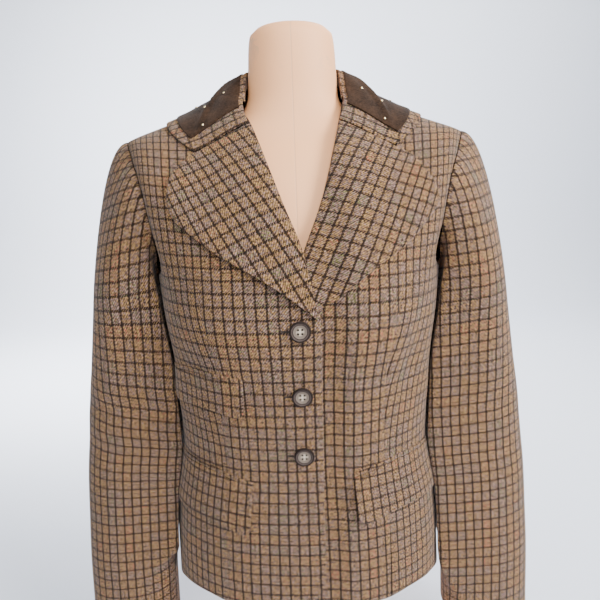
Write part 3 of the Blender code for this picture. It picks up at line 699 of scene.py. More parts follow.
check = bpy.data.node_groups.new("woven check", "ShaderNodeTree")
check.interface.new_socket("Place", in_out="INPUT", socket_type="NodeSocketVector")
check.interface.new_socket("Colour", in_out="OUTPUT", socket_type="NodeSocketColor")
check.interface.new_socket("Height", in_out="OUTPUT", socket_type="NodeSocketFloat")
source = check.nodes.new("NodeGroupInput")
target = check.nodes.new("NodeGroupOutput")
waves = {"Vector": source.outputs["Place"], "Scale": WANDER_WAVES, "Detail": 2.0}
wobble = node(check, "ShaderNodeTexNoise", waves).outputs["Color"]
drift = vector_maths(check, "SUBTRACT", {0: wobble, 1: (0.5, 0.5, 0.5)})
drift = vector_maths(check, "SCALE", {0: drift, "Scale": WANDER})
place = vector_maths(check, "ADD", {0: source.outputs["Place"], 1: drift})
parts = node(check, "ShaderNodeSeparateXYZ", {0: place})
warp = maths(check, "DIVIDE", parts.outputs["X"], CHECK_ACROSS)
weft = maths(check, "DIVIDE", parts.outputs["Y"], CHECK_UP)
fuzz = speckle(check, place, FUZZ)
twill = maths(check, "MULTIPLY", maths(check, "SUBTRACT", warp, weft), TWILLS_A_CHECK)
twill = maths(check, "FRACT", maths(check, "ADD", twill, maths(check, "MULTIPLY", fuzz, FUZZ_TWILL)))
in_warp = maths(check, "LESS_THAN", maths(check, "FRACT", warp), WARP_LINE)
in_weft = maths(check, "LESS_THAN", maths(check, "FRACT", weft), WEFT_LINE)
warp_dark = maths(check, "MULTIPLY", in_warp, maths(check, "LESS_THAN", twill, WARP_DARK))
weft_dark = maths(check, "MULTIPLY", in_weft, maths(check, "GREATER_THAN", twill, 1 - WEFT_DARK))
crossing = maths(check, "MULTIPLY", in_warp, in_weft)
dark = maths(check, "MAXIMUM", maths(check, "MAXIMUM", warp_dark, weft_dark), crossing)

# Each cell's colour: partly its own, partly its row's and its column's, and mottled as heather wool is
column_number, row_number = maths(check, "FLOOR", warp), maths(check, "FLOOR", weft)
cells = node(check, "ShaderNodeCombineXYZ", {0: column_number, 1: row_number, 2: 7.0}).outputs[0]
blend = None
for share, key, number in (
    (CELL_SHARE, "Vector", cells), (LINE_SHARE, "W", column_number), (LINE_SHARE, "W", row_number)
):
    chance = node(
        check, "ShaderNodeTexWhiteNoise", {key: number}, noise_dimensions="3D" if key == "Vector" else "1D"
    ).outputs["Value"]
    part = maths(check, "MULTIPLY", chance, share)
    blend = maths(check, "ADD", blend, part) if blend else part
mottle = maths(check, "SUBTRACT", speckle(check, place, MOTTLES, 3.0), 0.5)
blend = maths(check, "ADD", blend, maths(check, "MULTIPLY", mottle, MOTTLE_SHARE))
ground = colour_ramp(check, maths(check, "ADD", blend, HEATHER_FROM), HEATHER)
relief = maths(check, "PINGPONG", twill, 0.5)
tufts = maths(check, "SUBTRACT", speckle(check, place, TUFTS), 0.5)
# The ground carries painted shade from the twill's relief, times the tufts' own lighter and darker tone
shade = maths(check, "ADD", maths(check, "MULTIPLY", relief, SHADE_RIBS), SHADE_FROM)
shade = maths(check, "MULTIPLY", shade, maths(check, "ADD", maths(check, "MULTIPLY", tufts, TUFT_SHARE), 1.0))
shade = maths(check, "MAXIMUM", shade, SHADE_LEAST)
shades = node(check, "ShaderNodeCombineXYZ", {0: shade, 1: shade, 2: shade}).outputs[0]
ground = colour_mix(check, 1.0, ground, shades, "MULTIPLY")
yarn = colour_ramp(check, speckle(check, place, 260.0, 1.0), DARK_YARN)
darkness = maths(check, "MULTIPLY", dark, DARK_SHARE)
check.links.new(colour_mix(check, darkness, ground, yarn), target.inputs["Colour"])
height = maths(check, "ADD", relief, maths(check, "MULTIPLY", fuzz, FUZZ_RELIEF))
check.links.new(height, target.inputs["Height"])

tweed, tree, shader = finish("tweed_check", 0.92)
shader.inputs["Sheen Weight"].default_value = 0.08
shader.inputs["Sheen Roughness"].default_value = 0.5
shader.inputs["Specular IOR Level"].default_value = 0.12
place = node(tree, "ShaderNodeUVMap", uv_map="weave").outputs[0]
woven = node(tree, "ShaderNodeGroup", node_tree=check)
tree.links.new(place, woven.inputs["Place"])
tree.links.new(woven.outputs["Colour"], shader.inputs["Base Color"])
bump(tree, shader, woven.outputs["Height"], 0.0005, 0.55)

SIDES = ((-1, "right"), (1, "left"))


def tweed_piece(part, face, weave, size, thickness=TWEED, **more):
    return cloth(part, face, weave, size, thickness, tweed, "tweed", **more)


# The backs: two tweed pieces, sewn together down the centre back and to the side fronts at the sides.
# The photograph doesn't show them, so they're plain, with a neckline that the collar is sewn to.
# rise behind the shoulder, distance of the neckline from the centre
BACK_NECKLINE = ((1.65, 0.0), (1.69, 0.034), (1.80, 0.052), (1.94, 0.057), (2.0, 0.058))
BACK_SIZE = (0.255, 0.600)


def on_body(side, place, height_off=None):
    """A face on the body: place gives its turns and rises, height_off how far off the body it is."""

    def face(u, v):
        turn, rise = place(u, v)
        point = body_point(side, turn, rise)
        return point + body_normal(side, turn, rise) * height_off(u, v, turn, rise) if height_off else point

    return face


def weave_of(side, place, lean=lambda turn, rise: 0.0):
    def weave(u, v):
        turn, rise = place(u, v)
        across, up = body_weave(side, turn, rise)
        return across + side * lean(turn, rise), up

    return weave


def back_place(side):
    neckline = table([*BACK_NECKLINE[:-1], (2.0, BACK_NECKLINE[-1][1])])

    def place(u, v):
        rise = 2 * v
        outer = 90 + SEAM_TURN / 2 if rise < 1 else armhole_turns(rise)[1] + SEAM_TURN
        inner = 180 - SEAM_TURN
        if rise > BACK_NECKLINE[0][0]:
            inner = min(inner, turn_at(neckline(rise), rise, back=True))
        turn = mix(outer, inner, u)
        return turn, min(rise, seam_rise(turn))

    return place


for side, name in SIDES:
    place = back_place(side)
    back = tweed_piece(f"back_{name}", on_body(side, place), weave_of(side, place), BACK_SIZE)


# The side fronts: a narrow tweed piece on each side, between the princess seam and the side seam. Their
# grain leans in to the waist, so the check meets the front's at an angle.
SIDE_FRONT_SIZE = (0.125, 0.430)
SIDE_FRONT_LEAN = 0.026
SIDE_FRONT_TOP_GAP = 0.0015
LEAN_FROM_Z = 0.370
LEAN_TO_Z = 0.560


def side_front_lean(turn, rise):
    height = mix(hem_at(turn), UNDERARM_Z, min(rise, 1))
    return SIDE_FRONT_LEAN * (1 - ease(LEAN_FROM_Z, LEAN_TO_Z, height))


def side_front_place():
    tops = table([(turn, rise) for rise, turn, _ in reversed(ARMHOLE[:4])])

    def place(u, v):
        rise = v * tops(mix(ARMHOLE[3][1], 90, u)) - SIDE_FRONT_TOP_GAP * ease(0.93, 1.0, v)
        return mix(princess_turn(rise) + SEAM_TURN, 90 - SEAM_TURN / 2, u), rise

    return place


for side, name in SIDES:
    place = side_front_place()
    weave = weave_of(side, place, side_front_lean)
    side_front = tweed_piece(f"side_front_{name}", on_body(side, place), weave, SIDE_FRONT_SIZE)


# The fronts: tweed from the shoulder to a rounded corner at the hem. The wearer's right one laps over
# the left, which sinks under it near the buttons. Above the buttons each ends where its lapel rolls.
OVERLAP = 0.020
# distances from the centre front, and heights, between which the left front comes up again
UNDERLAP_ENDS = (0.026, 0.058)
UNDERLAP_TOP = (0.605, 0.700)
FRONT_CORNER_RADIUS = 0.050
CORNER_FADE = 0.4
UNDERLAP_DEPTH = 0.0068
LAPEL_BOTTOM_Z = 0.531
FRONT_SIZE = (0.115, 0.600)
# height, distance of the roll line from the centre front
ROLL_LINES = {
    -1: (
        (0.527, -0.0175),
        (0.594, -0.0045),
        (0.641, 0.0134),
        (0.692, 0.0325),
        (0.724, 0.0453),
        (0.742, 0.0549),
        (0.768, 0.0605),
    ),
    1: (
        (0.527, -0.0175),
        (0.594, 0.0050),
        (0.648, 0.0265),
        (0.703, 0.0420),
        (0.724, 0.0475),
        (0.749, 0.0545),
        (0.768, 0.0605),
    ),
}
roll_line = {side: table(rows) for side, rows in ROLL_LINES.items()}


def underlap(side, turn, rise):
    """How far the wearer's left front sinks under the right one near the buttons."""
    if side < 0:
        return 0.0
    point = body_point(side, turn, rise)
    return UNDERLAP_DEPTH * (1 - ease(*UNDERLAP_ENDS, point.x)) * (1 - ease(*UNDERLAP_TOP, point.z))


def roll_turn(side, rise):
    """The turn of the roll line at a rise."""
    across = 0.0
    for _ in range(5):
        turn = turn_at(across, rise)
        across = roll_line[side](body_point(side, turn, rise).z)
    return turn_at(across, rise)


def front_piece_place(side):
    known = {}

    def inner_turn(rise):
        if rise not in known:
            edge_z = mix(hem_at(30), UNDERARM_Z, rise)
            known[rise] = roll_turn(side, rise) if edge_z > LAPEL_BOTTOM_Z else turn_at(-OVERLAP, rise)
        return known[rise]

    def place(u, v):
        rise = 2 * v
        outer = princess_turn(rise) if rise < PRINCESS_SEAM[-1][0] else armhole_turns(rise)[0]
        inner = inner_turn(rise)
        turn = mix(inner, outer - SEAM_TURN, u)
        from_edge = (turn - inner) * math.radians(1) * half_width(rise)
        if from_edge < FRONT_CORNER_RADIUS:
            short = FRONT_CORNER_RADIUS - from_edge
            cut = FRONT_CORNER_RADIUS - math.sqrt(FRONT_CORNER_RADIUS**2 - short**2)
            rise += cut / (UNDERARM_Z - HEM_Z) * max(1 - v / CORNER_FADE, 0.0)
        return turn, min(rise, seam_rise(turn))

    return place


for side, name in SIDES:
    place = front_piece_place(side)
    sunk = on_body(side, place, lambda u, v, turn, rise: -underlap(side, turn, rise))
    face = on_body(side, place) if side < 0 else sunk
    front = tweed_piece(f"front_{name}", face, weave_of(side, place), FRONT_SIZE, spacing=FRONT_SPACING)


# The lapels: the fronts' doubled upper edges, rolled outwards and pressed back over them. Their grain
# runs along the roll line. Each rises in a soft roll from its front's edge and ends in a notch.
GORGE_Z = 0.722
LAPEL_BELLY = 0.0045
# The wearer's right lapel has sprung a little off the front along its outer edge
LAPEL_EDGE_LIFT = {-1: 0.0026, 1: 0.0}
LAPEL_SIZE = (0.125, 0.230)
LAPEL_GRAIN = {-1: math.radians(27), 1: math.radians(-21)}
# share of the way up, distance from the centre front, height
LAPEL_EDGES = {
    -1: (
        (0.00, -0.0180, 0.5262),
        (0.08, 0.0116, 0.5511),
        (0.20, 0.0458, 0.5733),
        (0.34, 0.0790, 0.5925),
        (0.48, 0.1085, 0.6147),
        (0.60, 0.1225, 0.6280),
        (0.72, 0.1295, 0.6470),
        (0.84, 0.1290, 0.6640),
        (0.93, 0.1215, 0.6790),
        (1.00, 0.1120, 0.6885),
    ),
    1: (
        (0.00, -0.0180, 0.5262),
        (0.08, 0.0170, 0.5340),
        (0.20, 0.0480, 0.5560),
        (0.34, 0.0790, 0.5780),
        (0.48, 0.1100, 0.5990),
        (0.60, 0.1330, 0.6225),
        (0.72, 0.1440, 0.6400),
        (0.84, 0.1400, 0.6570),
        (0.93, 0.1310, 0.6710),
        (1.00, 0.1215, 0.6840),
    ),
}
lapel_edge = {side: table(rows) for side, rows in LAPEL_EDGES.items()}


def front_place(across, height):
    """The turn and rise of a place on the front by its distance from the centre and its height."""
    if height <= UNDERARM_Z:
        turn = math.degrees(math.asin(across / body_section(height)[0]))
        return turn, rise_at(abs(turn), height)
    share = (height - UNDERARM_Z) / (shoulder_z(abs(across)) - UNDERARM_Z)
    turn = 0.0
    for _ in range(8):
        rise = 1 + math.degrees(math.asin(min(share, 1.0) ** (1 / crest_bend(turn)))) / 90
        turn = turn_at(across, rise)
    return turn, rise


def lapel_place(side):
    def place(u, v):
        roll_z = mix(LAPEL_BOTTOM_Z, GORGE_Z, v)
        edge_across, edge_z = lapel_edge[side](v)
        return front_place(mix(roll_line[side](roll_z), edge_across, u), mix(roll_z, edge_z, u))

    return place


def lapel_height(side):
    level = LAID_GAP + DOUBLED_TWEED

    def height_off(u, v, turn, rise):
        belly = LAPEL_BELLY * math.sin(math.pi * u**0.6) * ease(0.10, 0.45, v) * (1 - ease(0.8, 1, v) / 2)
        lift = LAPEL_EDGE_LIFT[side] * ease(0.6, 1.0, u) * (1 - ease(0.80, 0.95, v)) * ease(0.0, 0.06, v)
        return level + belly + lift - underlap(side, turn, rise)

    return height_off


def turned_weave(weave, angle):
    """A weave whose grain is turned by an angle."""

    def turned(u, v):
        across, up = weave(u, v)
        return (
            across * math.cos(angle) + up * math.sin(angle),
            up * math.cos(angle) - across * math.sin(angle),
        )

    return turned


for side, name in SIDES:
    place = lapel_place(side)
    weave = turned_weave(weave_of(side, place), LAPEL_GRAIN[side])
    face = on_body(side, place, lapel_height(side))
    lapel = tweed_piece(f"lapel_{name}", face, weave, LAPEL_SIZE, DOUBLED_TWEED, spacing=FOLDED_SPACING)


# The collar: a stand round the neck, and a fall that folds over it down to the shoulders. Both are
# tweed, and the fall's ends are sewn to the lapels along the gorge, short of the notch.
# share of the way from the gorge to the centre back, neckline's and outer edge's distance from the
# centre, their place over the shoulder (2 on the seam, more behind it), height of the fold
COLLAR_STATIONS = (
    (0.00, 0.0480, 1.633, 0.1060, 1.572, 0.0000),
    (0.10, 0.0535, 1.700, 0.1250, 1.655, 0.0015),
    (0.20, 0.0590, 1.800, 0.1365, 1.745, 0.0070),
    (0.30, 0.0590, 1.930, 0.1440, 1.900, 0.0180),
    (0.40, 0.0570, 2.060, 0.1430, 2.060, 0.0260),
    (0.55, 0.0520, 2.200, 0.1270, 2.280, 0.0330),
    (0.75, 0.0340, 2.310, 0.0820, 2.440, 0.0390),
    (1.00, 0.0000, 2.350, 0.0000, 2.500, 0.0410),
)
STAND_DEPTH = 0.0042
STAND_FOOT = 0.0025
STAND_TOP_GAP = 0.0012
# How much of the fold's height the stand has
STAND_SHARE = 0.84
STAND_START = 0.17
COLLAR_BELLY = 0.0018
COLLAR_FLAT_FROM = 0.45
FOLD_SHARPNESS = 1.6
# The fold rolls in to the neck and down over the stand: how far in and down, the share of the fall
# that rolls, and the height of the fold from which it rolls in full
FOLD_IN = 0.0070
FOLD_DOWN = 0.0046
FOLD_ROLLS = 0.24
FOLD_FULL_LIFT = 0.008
FALL_SIZE = (0.430, 0.085)
STAND_SIZE = (0.250, 0.030)
collar_station = table(COLLAR_STATIONS)


def over_shoulder(across, place):
    """The turn and rise of a place over the shoulder: 1 in front at the underarm, 2 on the seam, 3 behind."""
    rise = 4 - place if place > 2 else place
    return turn_at(across, rise, back=place > 2), rise


def fall_face(u, v, out=0.0):
    """The collar's fall: u from one gorge to the other, v from the fold down to the outer edge."""
    side = -1 if u < 0.5 else 1
    neck_x, neck_s, edge_x, edge_s, lift = collar_station(1 - abs(2 * u - 1))
    turn, rise = over_shoulder(mix(neck_x, edge_x, v), mix(neck_s, edge_s, v))
    rest = max(1 - v / COLLAR_FLAT_FROM, 0.0)
    out += LAID_GAP + DOUBLED_TWEED + COLLAR_BELLY * math.sin(math.pi * min(v * 1.4, 1))
    point = body_point(side, turn, rise)
    rolled = max(1 - v / FOLD_ROLLS, 0.0) ** 2 * min(lift / FOLD_FULL_LIFT, 1.0)
    inward = Vector((-point.x, -point.y, 0)).normalized() * FOLD_IN * rolled
    lifted = Vector((0, 0, lift * rest**FOLD_SHARPNESS - FOLD_DOWN * rolled))
    return point + body_normal(side, turn, rise) * out + lifted + inward


def stand_face(u, v):
    """The stand: u round the neck, v from the neckline up to just under the fold."""
    whole = mix(STAND_START / 2, 1 - STAND_START / 2, u)
    side = -1 if whole < 0.5 else 1
    neck_x, neck_s, _, _, lift = collar_station(1 - abs(2 * whole - 1))
    base = body_point(side, *over_shoulder(neck_x, neck_s))
    inward = Vector((-base.x, -base.y, 0)).normalized()
    up = mix(STAND_FOOT, lift * STAND_SHARE - STAND_TOP_GAP, v)
    return base + inward * STAND_DEPTH + Vector((0, 0, up))


fall = tweed_piece(
    "collar_fall", fall_face, strip_weave, FALL_SIZE, DOUBLED_TWEED, spacing=FOLDED_SPACING, measured=True
)
stand = tweed_piece(
    "collar_stand", stand_face, strip_weave, STAND_SIZE, spacing=FOLDED_SPACING, measured=True
)


# The collar's overlay: dark brown suede, cut short of the fall's edges and stitched down near its own
# edge. It lies on the fall, and a soft ridge runs across it where the collar has been folded.
SUEDE = 0.0012
PATCH_GAP = 0.0004
# share of the collar that the suede leaves bare: at its ends by the fold and by the outer edge, along
# the fold, and along the outer edge
PATCH_ENDS = (0.062, 0.034)
PATCH_EDGES = (0.04, 0.15)
PATCH_SIZE = (0.370, 0.060)
SUEDE_COLOURS = ((0.34, (0.012, 0.006, 0.003)), (0.66, (0.052, 0.027, 0.015)))
# share along the collar, share across it, slope, half width, half length, height
SUEDE_RIDGES = (
    (0.085, 0.42, -0.20, 0.0120, 0.50, 0.0034),
    (0.915, 0.42, 0.20, 0.0120, 0.50, 0.0034),
    (0.200, 0.62, 0.05, 0.0180, 0.30, 0.0009),
    (0.790, 0.60, -0.07, 0.0180, 0.30, 0.0009),
)


def suede_rise(u, v):
    """How far the suede's ridges rise off the fall, at a place on the suede."""
    ridge = 0.0
    for place, middle, slope, wide, long, height in SUEDE_RIDGES:
        off = (u - place - slope * (v - middle)) / wide
        ridge += height * math.exp(-off * off - ((v - middle) / long) ** 2)
    return ridge * math.sin(math.pi * v**0.6)


def patch_face(u, v):
    """The suede, on the fall's outer face."""
    bare = mix(*PATCH_ENDS, v)
    down = mix(PATCH_EDGES[0], 1 - PATCH_EDGES[1], v)
    return fall_face(mix(bare, 1 - bare, u), down, PATCH_GAP + SUEDE + suede_rise(u, v))


suede, tree, shader = finish("suede_nap", 0.95)
shader.inputs["Sheen Weight"].default_value = 0.10
shader.inputs["Sheen Roughness"].default_value = 0.4
shader.inputs["Specular IOR Level"].default_value = 0.1
place = object_place(tree)
brushed = maths(
    tree, "ADD", maths(tree, "MULTIPLY", speckle(tree, place, 70.0, 4.0), 0.5),
    maths(tree, "MULTIPLY", speckle(tree, place, 420.0, 3.0), 0.5),
)
tree.links.new(colour_ramp(tree, brushed, SUEDE_COLOURS), shader.inputs["Base Color"])
bump(tree, shader, speckle(tree, place, 1300.0, 3.0), 0.0004, 0.5)
patch = cloth(
    "collar_patch", patch_face, strip_weave, PATCH_SIZE, SUEDE, suede, "suede",
    spacing=SMALL_SPACING, measured=True,
)


# The studs: small pale gold domes, pressed through the suede in a loose group on each side.
# share along the collar, share across it
STUDS = ((0.115, 0.58), (0.22, 0.46), (0.25, 0.20), (0.36, 0.62), (0.66, 0.38), (0.66, 0.62))
STUD_RADIUS = 0.0017
STUD_HEIGHT = 0.0013
STUD_FOOT = PATCH_GAP + SUEDE + 0.0003
STUD_SPOKES = 20
STUD_ANGLES = range(0, 91, 15)
GOLD_COLOURS = ((0.35, (0.60, 0.46, 0.24)), (0.65, (0.86, 0.72, 0.44)))


def turned_shape(build, profile, spokes, place):
    """A turned shape in a mesh being built: profile points from the axis down its outside."""
    rings = []
    for radius, z in profile:
        if radius == 0:
            rings.append([build.verts.new(place @ Vector((0, 0, z)))])
            continue
        angles = [2 * math.pi * i / spokes for i in range(spokes)]
        rings.append(
            [build.verts.new(place @ Vector((radius * math.cos(a), radius * math.sin(a), z))) for a in angles]
        )
    for upper, lower in zip(rings, rings[1:]):
        for i in range(spokes):
            j = (i + 1) % spokes
            corners = (
                upper[i % len(upper)], lower[i % len(lower)],
                lower[j % len(lower)], upper[j % len(upper)],
            )
            build.faces.new(list(dict.fromkeys(corners)))


def mesh_of(build, name):
    """The mesh of what has been built, which is closed with it."""
    bmesh.ops.recalc_face_normals(build, faces=build.faces)
    mesh = bpy.data.meshes.new(name)
    build.to_mesh(mesh)
    build.free()
    return mesh


def seat(point, normal):
    """The place of something that stands on a face, with its +Z along the normal."""
    return Matrix.Translation(point) @ normal.to_track_quat("Z", "Y").to_matrix().to_4x4()


brass, tree, shader = finish("pale_gold", 0.24, 1.0)
place = object_place(tree)
tree.links.new(colour_ramp(tree, speckle(tree, place, 600.0, 3.0), GOLD_COLOURS), shader.inputs["Base Color"])
build = bmesh.new()
dome = [
    (STUD_RADIUS * math.sin(math.radians(a)), STUD_HEIGHT * math.cos(math.radians(a))) for a in STUD_ANGLES
]
stud_nodes = []
for side, name in SIDES:
    for number, (along, across) in enumerate(STUDS):
        u = (along if side < 0 else 2 - along) / 2
        down = (across - PATCH_EDGES[0]) / (1 - PATCH_EDGES[1] - PATCH_EDGES[0])
        bare = mix(*PATCH_ENDS, down)
        foot_out = STUD_FOOT + suede_rise((u - bare) / (1 - 2 * bare), down)
        foot = fall_face(u, across, foot_out)
        normal = (fall_face(u, across, foot_out + STUD_FOOT) - foot).normalized()
        turned_shape(build, [*dome, (0, 0)], STUD_SPOKES, seat(foot, normal))
        stud_nodes.append(f"stud_{name}_{number + 1}")
add_piece("gold_studs", mesh_of(build, "gold_studs"), brass, "pale_brass", *stud_nodes)


# The sleeves: two pieces each, sewn into a tube and set into the armhole over a soft roll, so that the
# cloth stands a little above the shoulder. They hang empty and bend in soft creases at the elbow.
# height, centre across, centre depth, half width, half depth
SLEEVE_SECTIONS = (
    (0.091, 0.2410, -0.028, 0.0585, 0.0350),
    (0.180, 0.2370, -0.024, 0.0590, 0.0370),
    (0.240, 0.2320, -0.020, 0.0600, 0.0390),
    (0.300, 0.2270, -0.016, 0.0605, 0.0410),
    (0.380, 0.2180, -0.010, 0.0605, 0.0460),
    (0.450, 0.2140, -0.004, 0.0530, 0.0570),
    (0.535, 0.2085, 0.000, 0.0435, 0.0680),
)
BICEP_Z = SLEEVE_SECTIONS[-1][0]
CUFF_Z = SLEEVE_SECTIONS[0][0]
SLEEVE_SEAM_FRONT = 150
SLEEVE_SEAM_BACK = 240
SLEEVE_SEAM_GAP = 0.6
SLEEVE_START = 0.0007
SLEEVE_CLEARANCE = 0.0016
# The sleeve's inside is flatter than round where it lies against the body. It leaves the body again
# near the hem: the two heights between which it does, and by how much
SLEEVE_FLATNESS = 0.70
SLEEVE_LEAVES = (0.150, 0.205, 0.0045)
# The inside is drawn in to rest this far off the body. This fades in over two shares of the width
# inwards, and over two heights on each side
SLEEVE_REST = 0.0024
SLEEVE_REST_SHARES = (0.05, 0.50)
SLEEVE_REST_HEIGHTS = {-1: (0.172, 0.212), 1: (0.095, 0.178)}
SLEEVE_SOFTNESS = 0.003
CAP_SPRING = 0.50
CAP_DROP = 0.65
CAP_LEAN = 0.20
CAP_FLARE = 0.12
# side, angle round the sleeve, height, spread in degrees, half length, degrees of tilt per metre, depth
SLEEVE_FOLDS = (
    (-1, 60, 0.400, 40, 0.018, 60, -0.0022),
    (-1, 75, 0.350, 45, 0.016, -40, -0.0018),
    (1, 60, 0.390, 40, 0.022, 50, -0.0010),
    (1, 70, 0.330, 42, 0.024, -40, -0.0009),
    (-1, 95, 0.560, 14, 0.050, 200, 0.0030),
    (1, 95, 0.555, 14, 0.050, 200, 0.0030),
    (-1, 230, 0.400, 50, 0.020, 0, -0.0030),
    (1, 232, 0.410, 50, 0.020, 0, -0.0030),
)
UPPER_SLEEVE_SIZE = (0.260, 0.590)
UNDER_SLEEVE_SIZE = (0.085, 0.450)
# height, how much the check climbs towards the front and the inside of the sleeve, as a slope
SLEEVE_TILT = {
    -1: ((0.10, 0.10), (0.26, 0.04), (0.38, -0.18), (0.48, -0.08), (0.60, 0.18), (0.70, 0.22)),
    1: ((0.10, -0.06), (0.26, -0.09), (0.40, -0.12), (0.52, -0.14), (0.70, -0.15)),
}
sleeve_section = table(SLEEVE_SECTIONS)
sleeve_tilt = {side: table(rows) for side, rows in SLEEVE_TILT.items()}


def armhole_point(side, angle):
    """A point of the armhole: 0 at the shoulder, 90 in front, 180 under the arm, 270 behind."""
    back = angle % 360 > 180
    share = (1 + math.cos(math.radians(angle))) / 2
    rise = 1 + math.degrees(math.asin(share ** (1 / crest_bend(80)))) / 90
    return body_point(side, armhole_turns(rise)[1 if back else 0], rise)


def body_reach(depth, height):
    """How far to the side the body reaches at a depth and a height."""
    height = min(max(height, HEM_Z), UNDERARM_Z)
    half, front, back, power = body_section(height)
    share = min(abs(depth) / (front if depth < 0 else back), 1.0)
    return half * (1 - share**power) ** (1 / power)


def tube_point(side, angle, height):
    """A point of the sleeve's tube below the underarm, flattened where it meets the body."""
    across, depth, wide, deep = sleeve_section(height)
    turn = math.radians(angle)
    out = 0.0
    for fold_side, fold_angle, z, spread, long, tilt, amount in SLEEVE_FOLDS:
        if fold_side == side:
            along = (height - z) / long
            off = ((angle - fold_angle + 180) % 360 - 180 - tilt * (height - z)) / spread
            out += amount * math.exp(-off * off - along * along)
    side_share = math.cos(turn)
    if side_share < 0:
        side_share = -((-side_share) ** SLEEVE_FLATNESS)
    x = across + (wide + out) * side_share
    y = depth - (deep + out) * math.sin(turn)
    low, high, leave = SLEEVE_LEAVES
    limit = body_reach(y, height) + SLEEVE_CLEARANCE + leave * (1 - ease(low, high, height))
    rest = ease(*SLEEVE_REST_SHARES, -math.cos(turn)) * ease(*SLEEVE_REST_HEIGHTS[side], height)
    x = mix(x, min(x, limit + SLEEVE_REST), rest)
    x = (x + limit + math.hypot(x - limit, SLEEVE_SOFTNESS)) / 2
    return Vector((x * side, y, height))


def sleeve_point(side, angle, length):
    """A point of a sleeve: length 0 at the armhole, 1 at the underarm level and 2 at the cuff."""
    if length > 1:
        return tube_point(side, angle, mix(BICEP_Z, CUFF_Z, length - 1))
    start = armhole_point(side, angle) + Vector((SLEEVE_START * side, 0, 0))
    end = tube_point(side, angle, BICEP_Z)
    chord = (end - start).length
    middle = Vector((start.x, 0, mix(UNDERARM_Z, SHOULDER_Z, 0.5)))
    leave = Vector((side, 0, -CAP_LEAN)) + (start - middle).normalized() * CAP_FLARE
    spring = leave.normalized() * chord * CAP_SPRING
    below = (tube_point(side, angle, BICEP_Z - 0.01) - end).normalized() * chord * CAP_DROP
    t = length
    return (
        start * (2 * t**3 - 3 * t**2 + 1)
        + spring * (t**3 - 2 * t**2 + t)
        + end * (3 * t**2 - 2 * t**3)
        + below * (t**3 - t**2)
    )


def sleeve_middle(side):
    """The middle line of a sleeve, for telling its outside from its inside."""

    def middle(point):
        across, depth, _, _ = sleeve_section(point.z)
        return Vector((across * side, depth, min(point.z, BICEP_Z + 0.06)))

    return middle


def sleeve_weave(side):
    return lambda points: level_weave(points, sleeve_tilt[side])


def sleeve_face(side, first, last):
    """Part of a sleeve, between two angles round it."""
    return lambda u, v: sleeve_point(side, mix(first, last, u), 2 * v)


for side, name in SIDES:
    # The under sleeve runs from seam to seam, and the upper one leaves it a little room at both
    upper_face = sleeve_face(
        side, SLEEVE_SEAM_BACK + SLEEVE_SEAM_GAP - 360, SLEEVE_SEAM_FRONT - SLEEVE_SEAM_GAP
    )
    under_face = sleeve_face(side, SLEEVE_SEAM_FRONT, SLEEVE_SEAM_BACK)
    how = {"inside": sleeve_middle(side), "measured": True}
    upper = tweed_piece(f"sleeve_upper_{name}", upper_face, sleeve_weave(side), UPPER_SLEEVE_SIZE, **how)
    under = tweed_piece(f"sleeve_under_{name}", under_face, sleeve_weave(side), UNDER_SLEEVE_SIZE, **how)


# The pockets: tweed flaps that hang from narrow tweed jets over a slit that they hide. There is one hip
# flap on each side, and a shallower ticket flap above the wearer's right one.
# name, side, turn of the front end, turn of the back end, height at the front end, in the middle and at
# the back end, depth of the flap
FLAPS = (
    ("hip_left", 1, 19.7, 77, 0.341, 0.351, 0.344, 0.060),
    ("hip_right", -1, 21.9, 79, 0.333, 0.345, 0.338, 0.062),
    ("ticket", -1, 22.9, 67, 0.4585, 0.4640, 0.4590, 0.040),
)
FLAP_CORNER = 0.012
FLAP_ROUNDNESS = 0.9
# A flap's length as a share of a round arc over its turns, and its cut as a share of its length
FLAP_ARC_SHARE = 0.94
# How far a flap's and a jet's outer faces stand off the body: at the slit, more at the flap's foot,
# and more again at its front corner, where it has sprung away
FLAP_TWEED = 0.0014
JET_TWEED = 0.0010
FLAP_ROOT = 0.0018
JET_RISE = 0.0013
FLAP_LIFT = 0.0020
FLAP_CORNER_LIFT = 0.0042
FLAP_CORNER_SHARE = 0.35
JET_DEPTH = 0.0050
JET_GAP = 0.0006
FLAP_SHIFT = 0.0037


def flap_place(first, last, front_z, middle_z, back_z, depth, top=0.0):
    """Where a flap lies on the front and side front, with round lower corners."""
    line = table(((0, front_z), (0.45, middle_z), (1, back_z)))
    length = math.radians(last - first) * half_width(rise_at(30, front_z)) * FLAP_ROUNDNESS
    corner = FLAP_CORNER if depth > 2 * FLAP_CORNER else 0.0

    def place(u, v):
        short = max(corner - min(u, 1 - u) * length, 0.0)
        cut = corner - math.sqrt(corner**2 - short**2)
        turn = mix(first, last, u)
        return turn, rise_at(turn, line(u) + top - v * (depth - cut))

    return place


def flap_height(u, v, turn, rise):
    sprung = max(1 - u / FLAP_CORNER_SHARE, 0.0) ** 2
    return FLAP_ROOT + FLAP_LIFT * v + FLAP_CORNER_LIFT * sprung * math.sin(math.pi * min(v * 1.2, 1.0) / 2)


def jet_height(u, v, turn, rise):
    return JET_RISE


def shifted_weave(weave, across, up):
    return lambda u, v: (weave(u, v)[0] + across, weave(u, v)[1] + up)


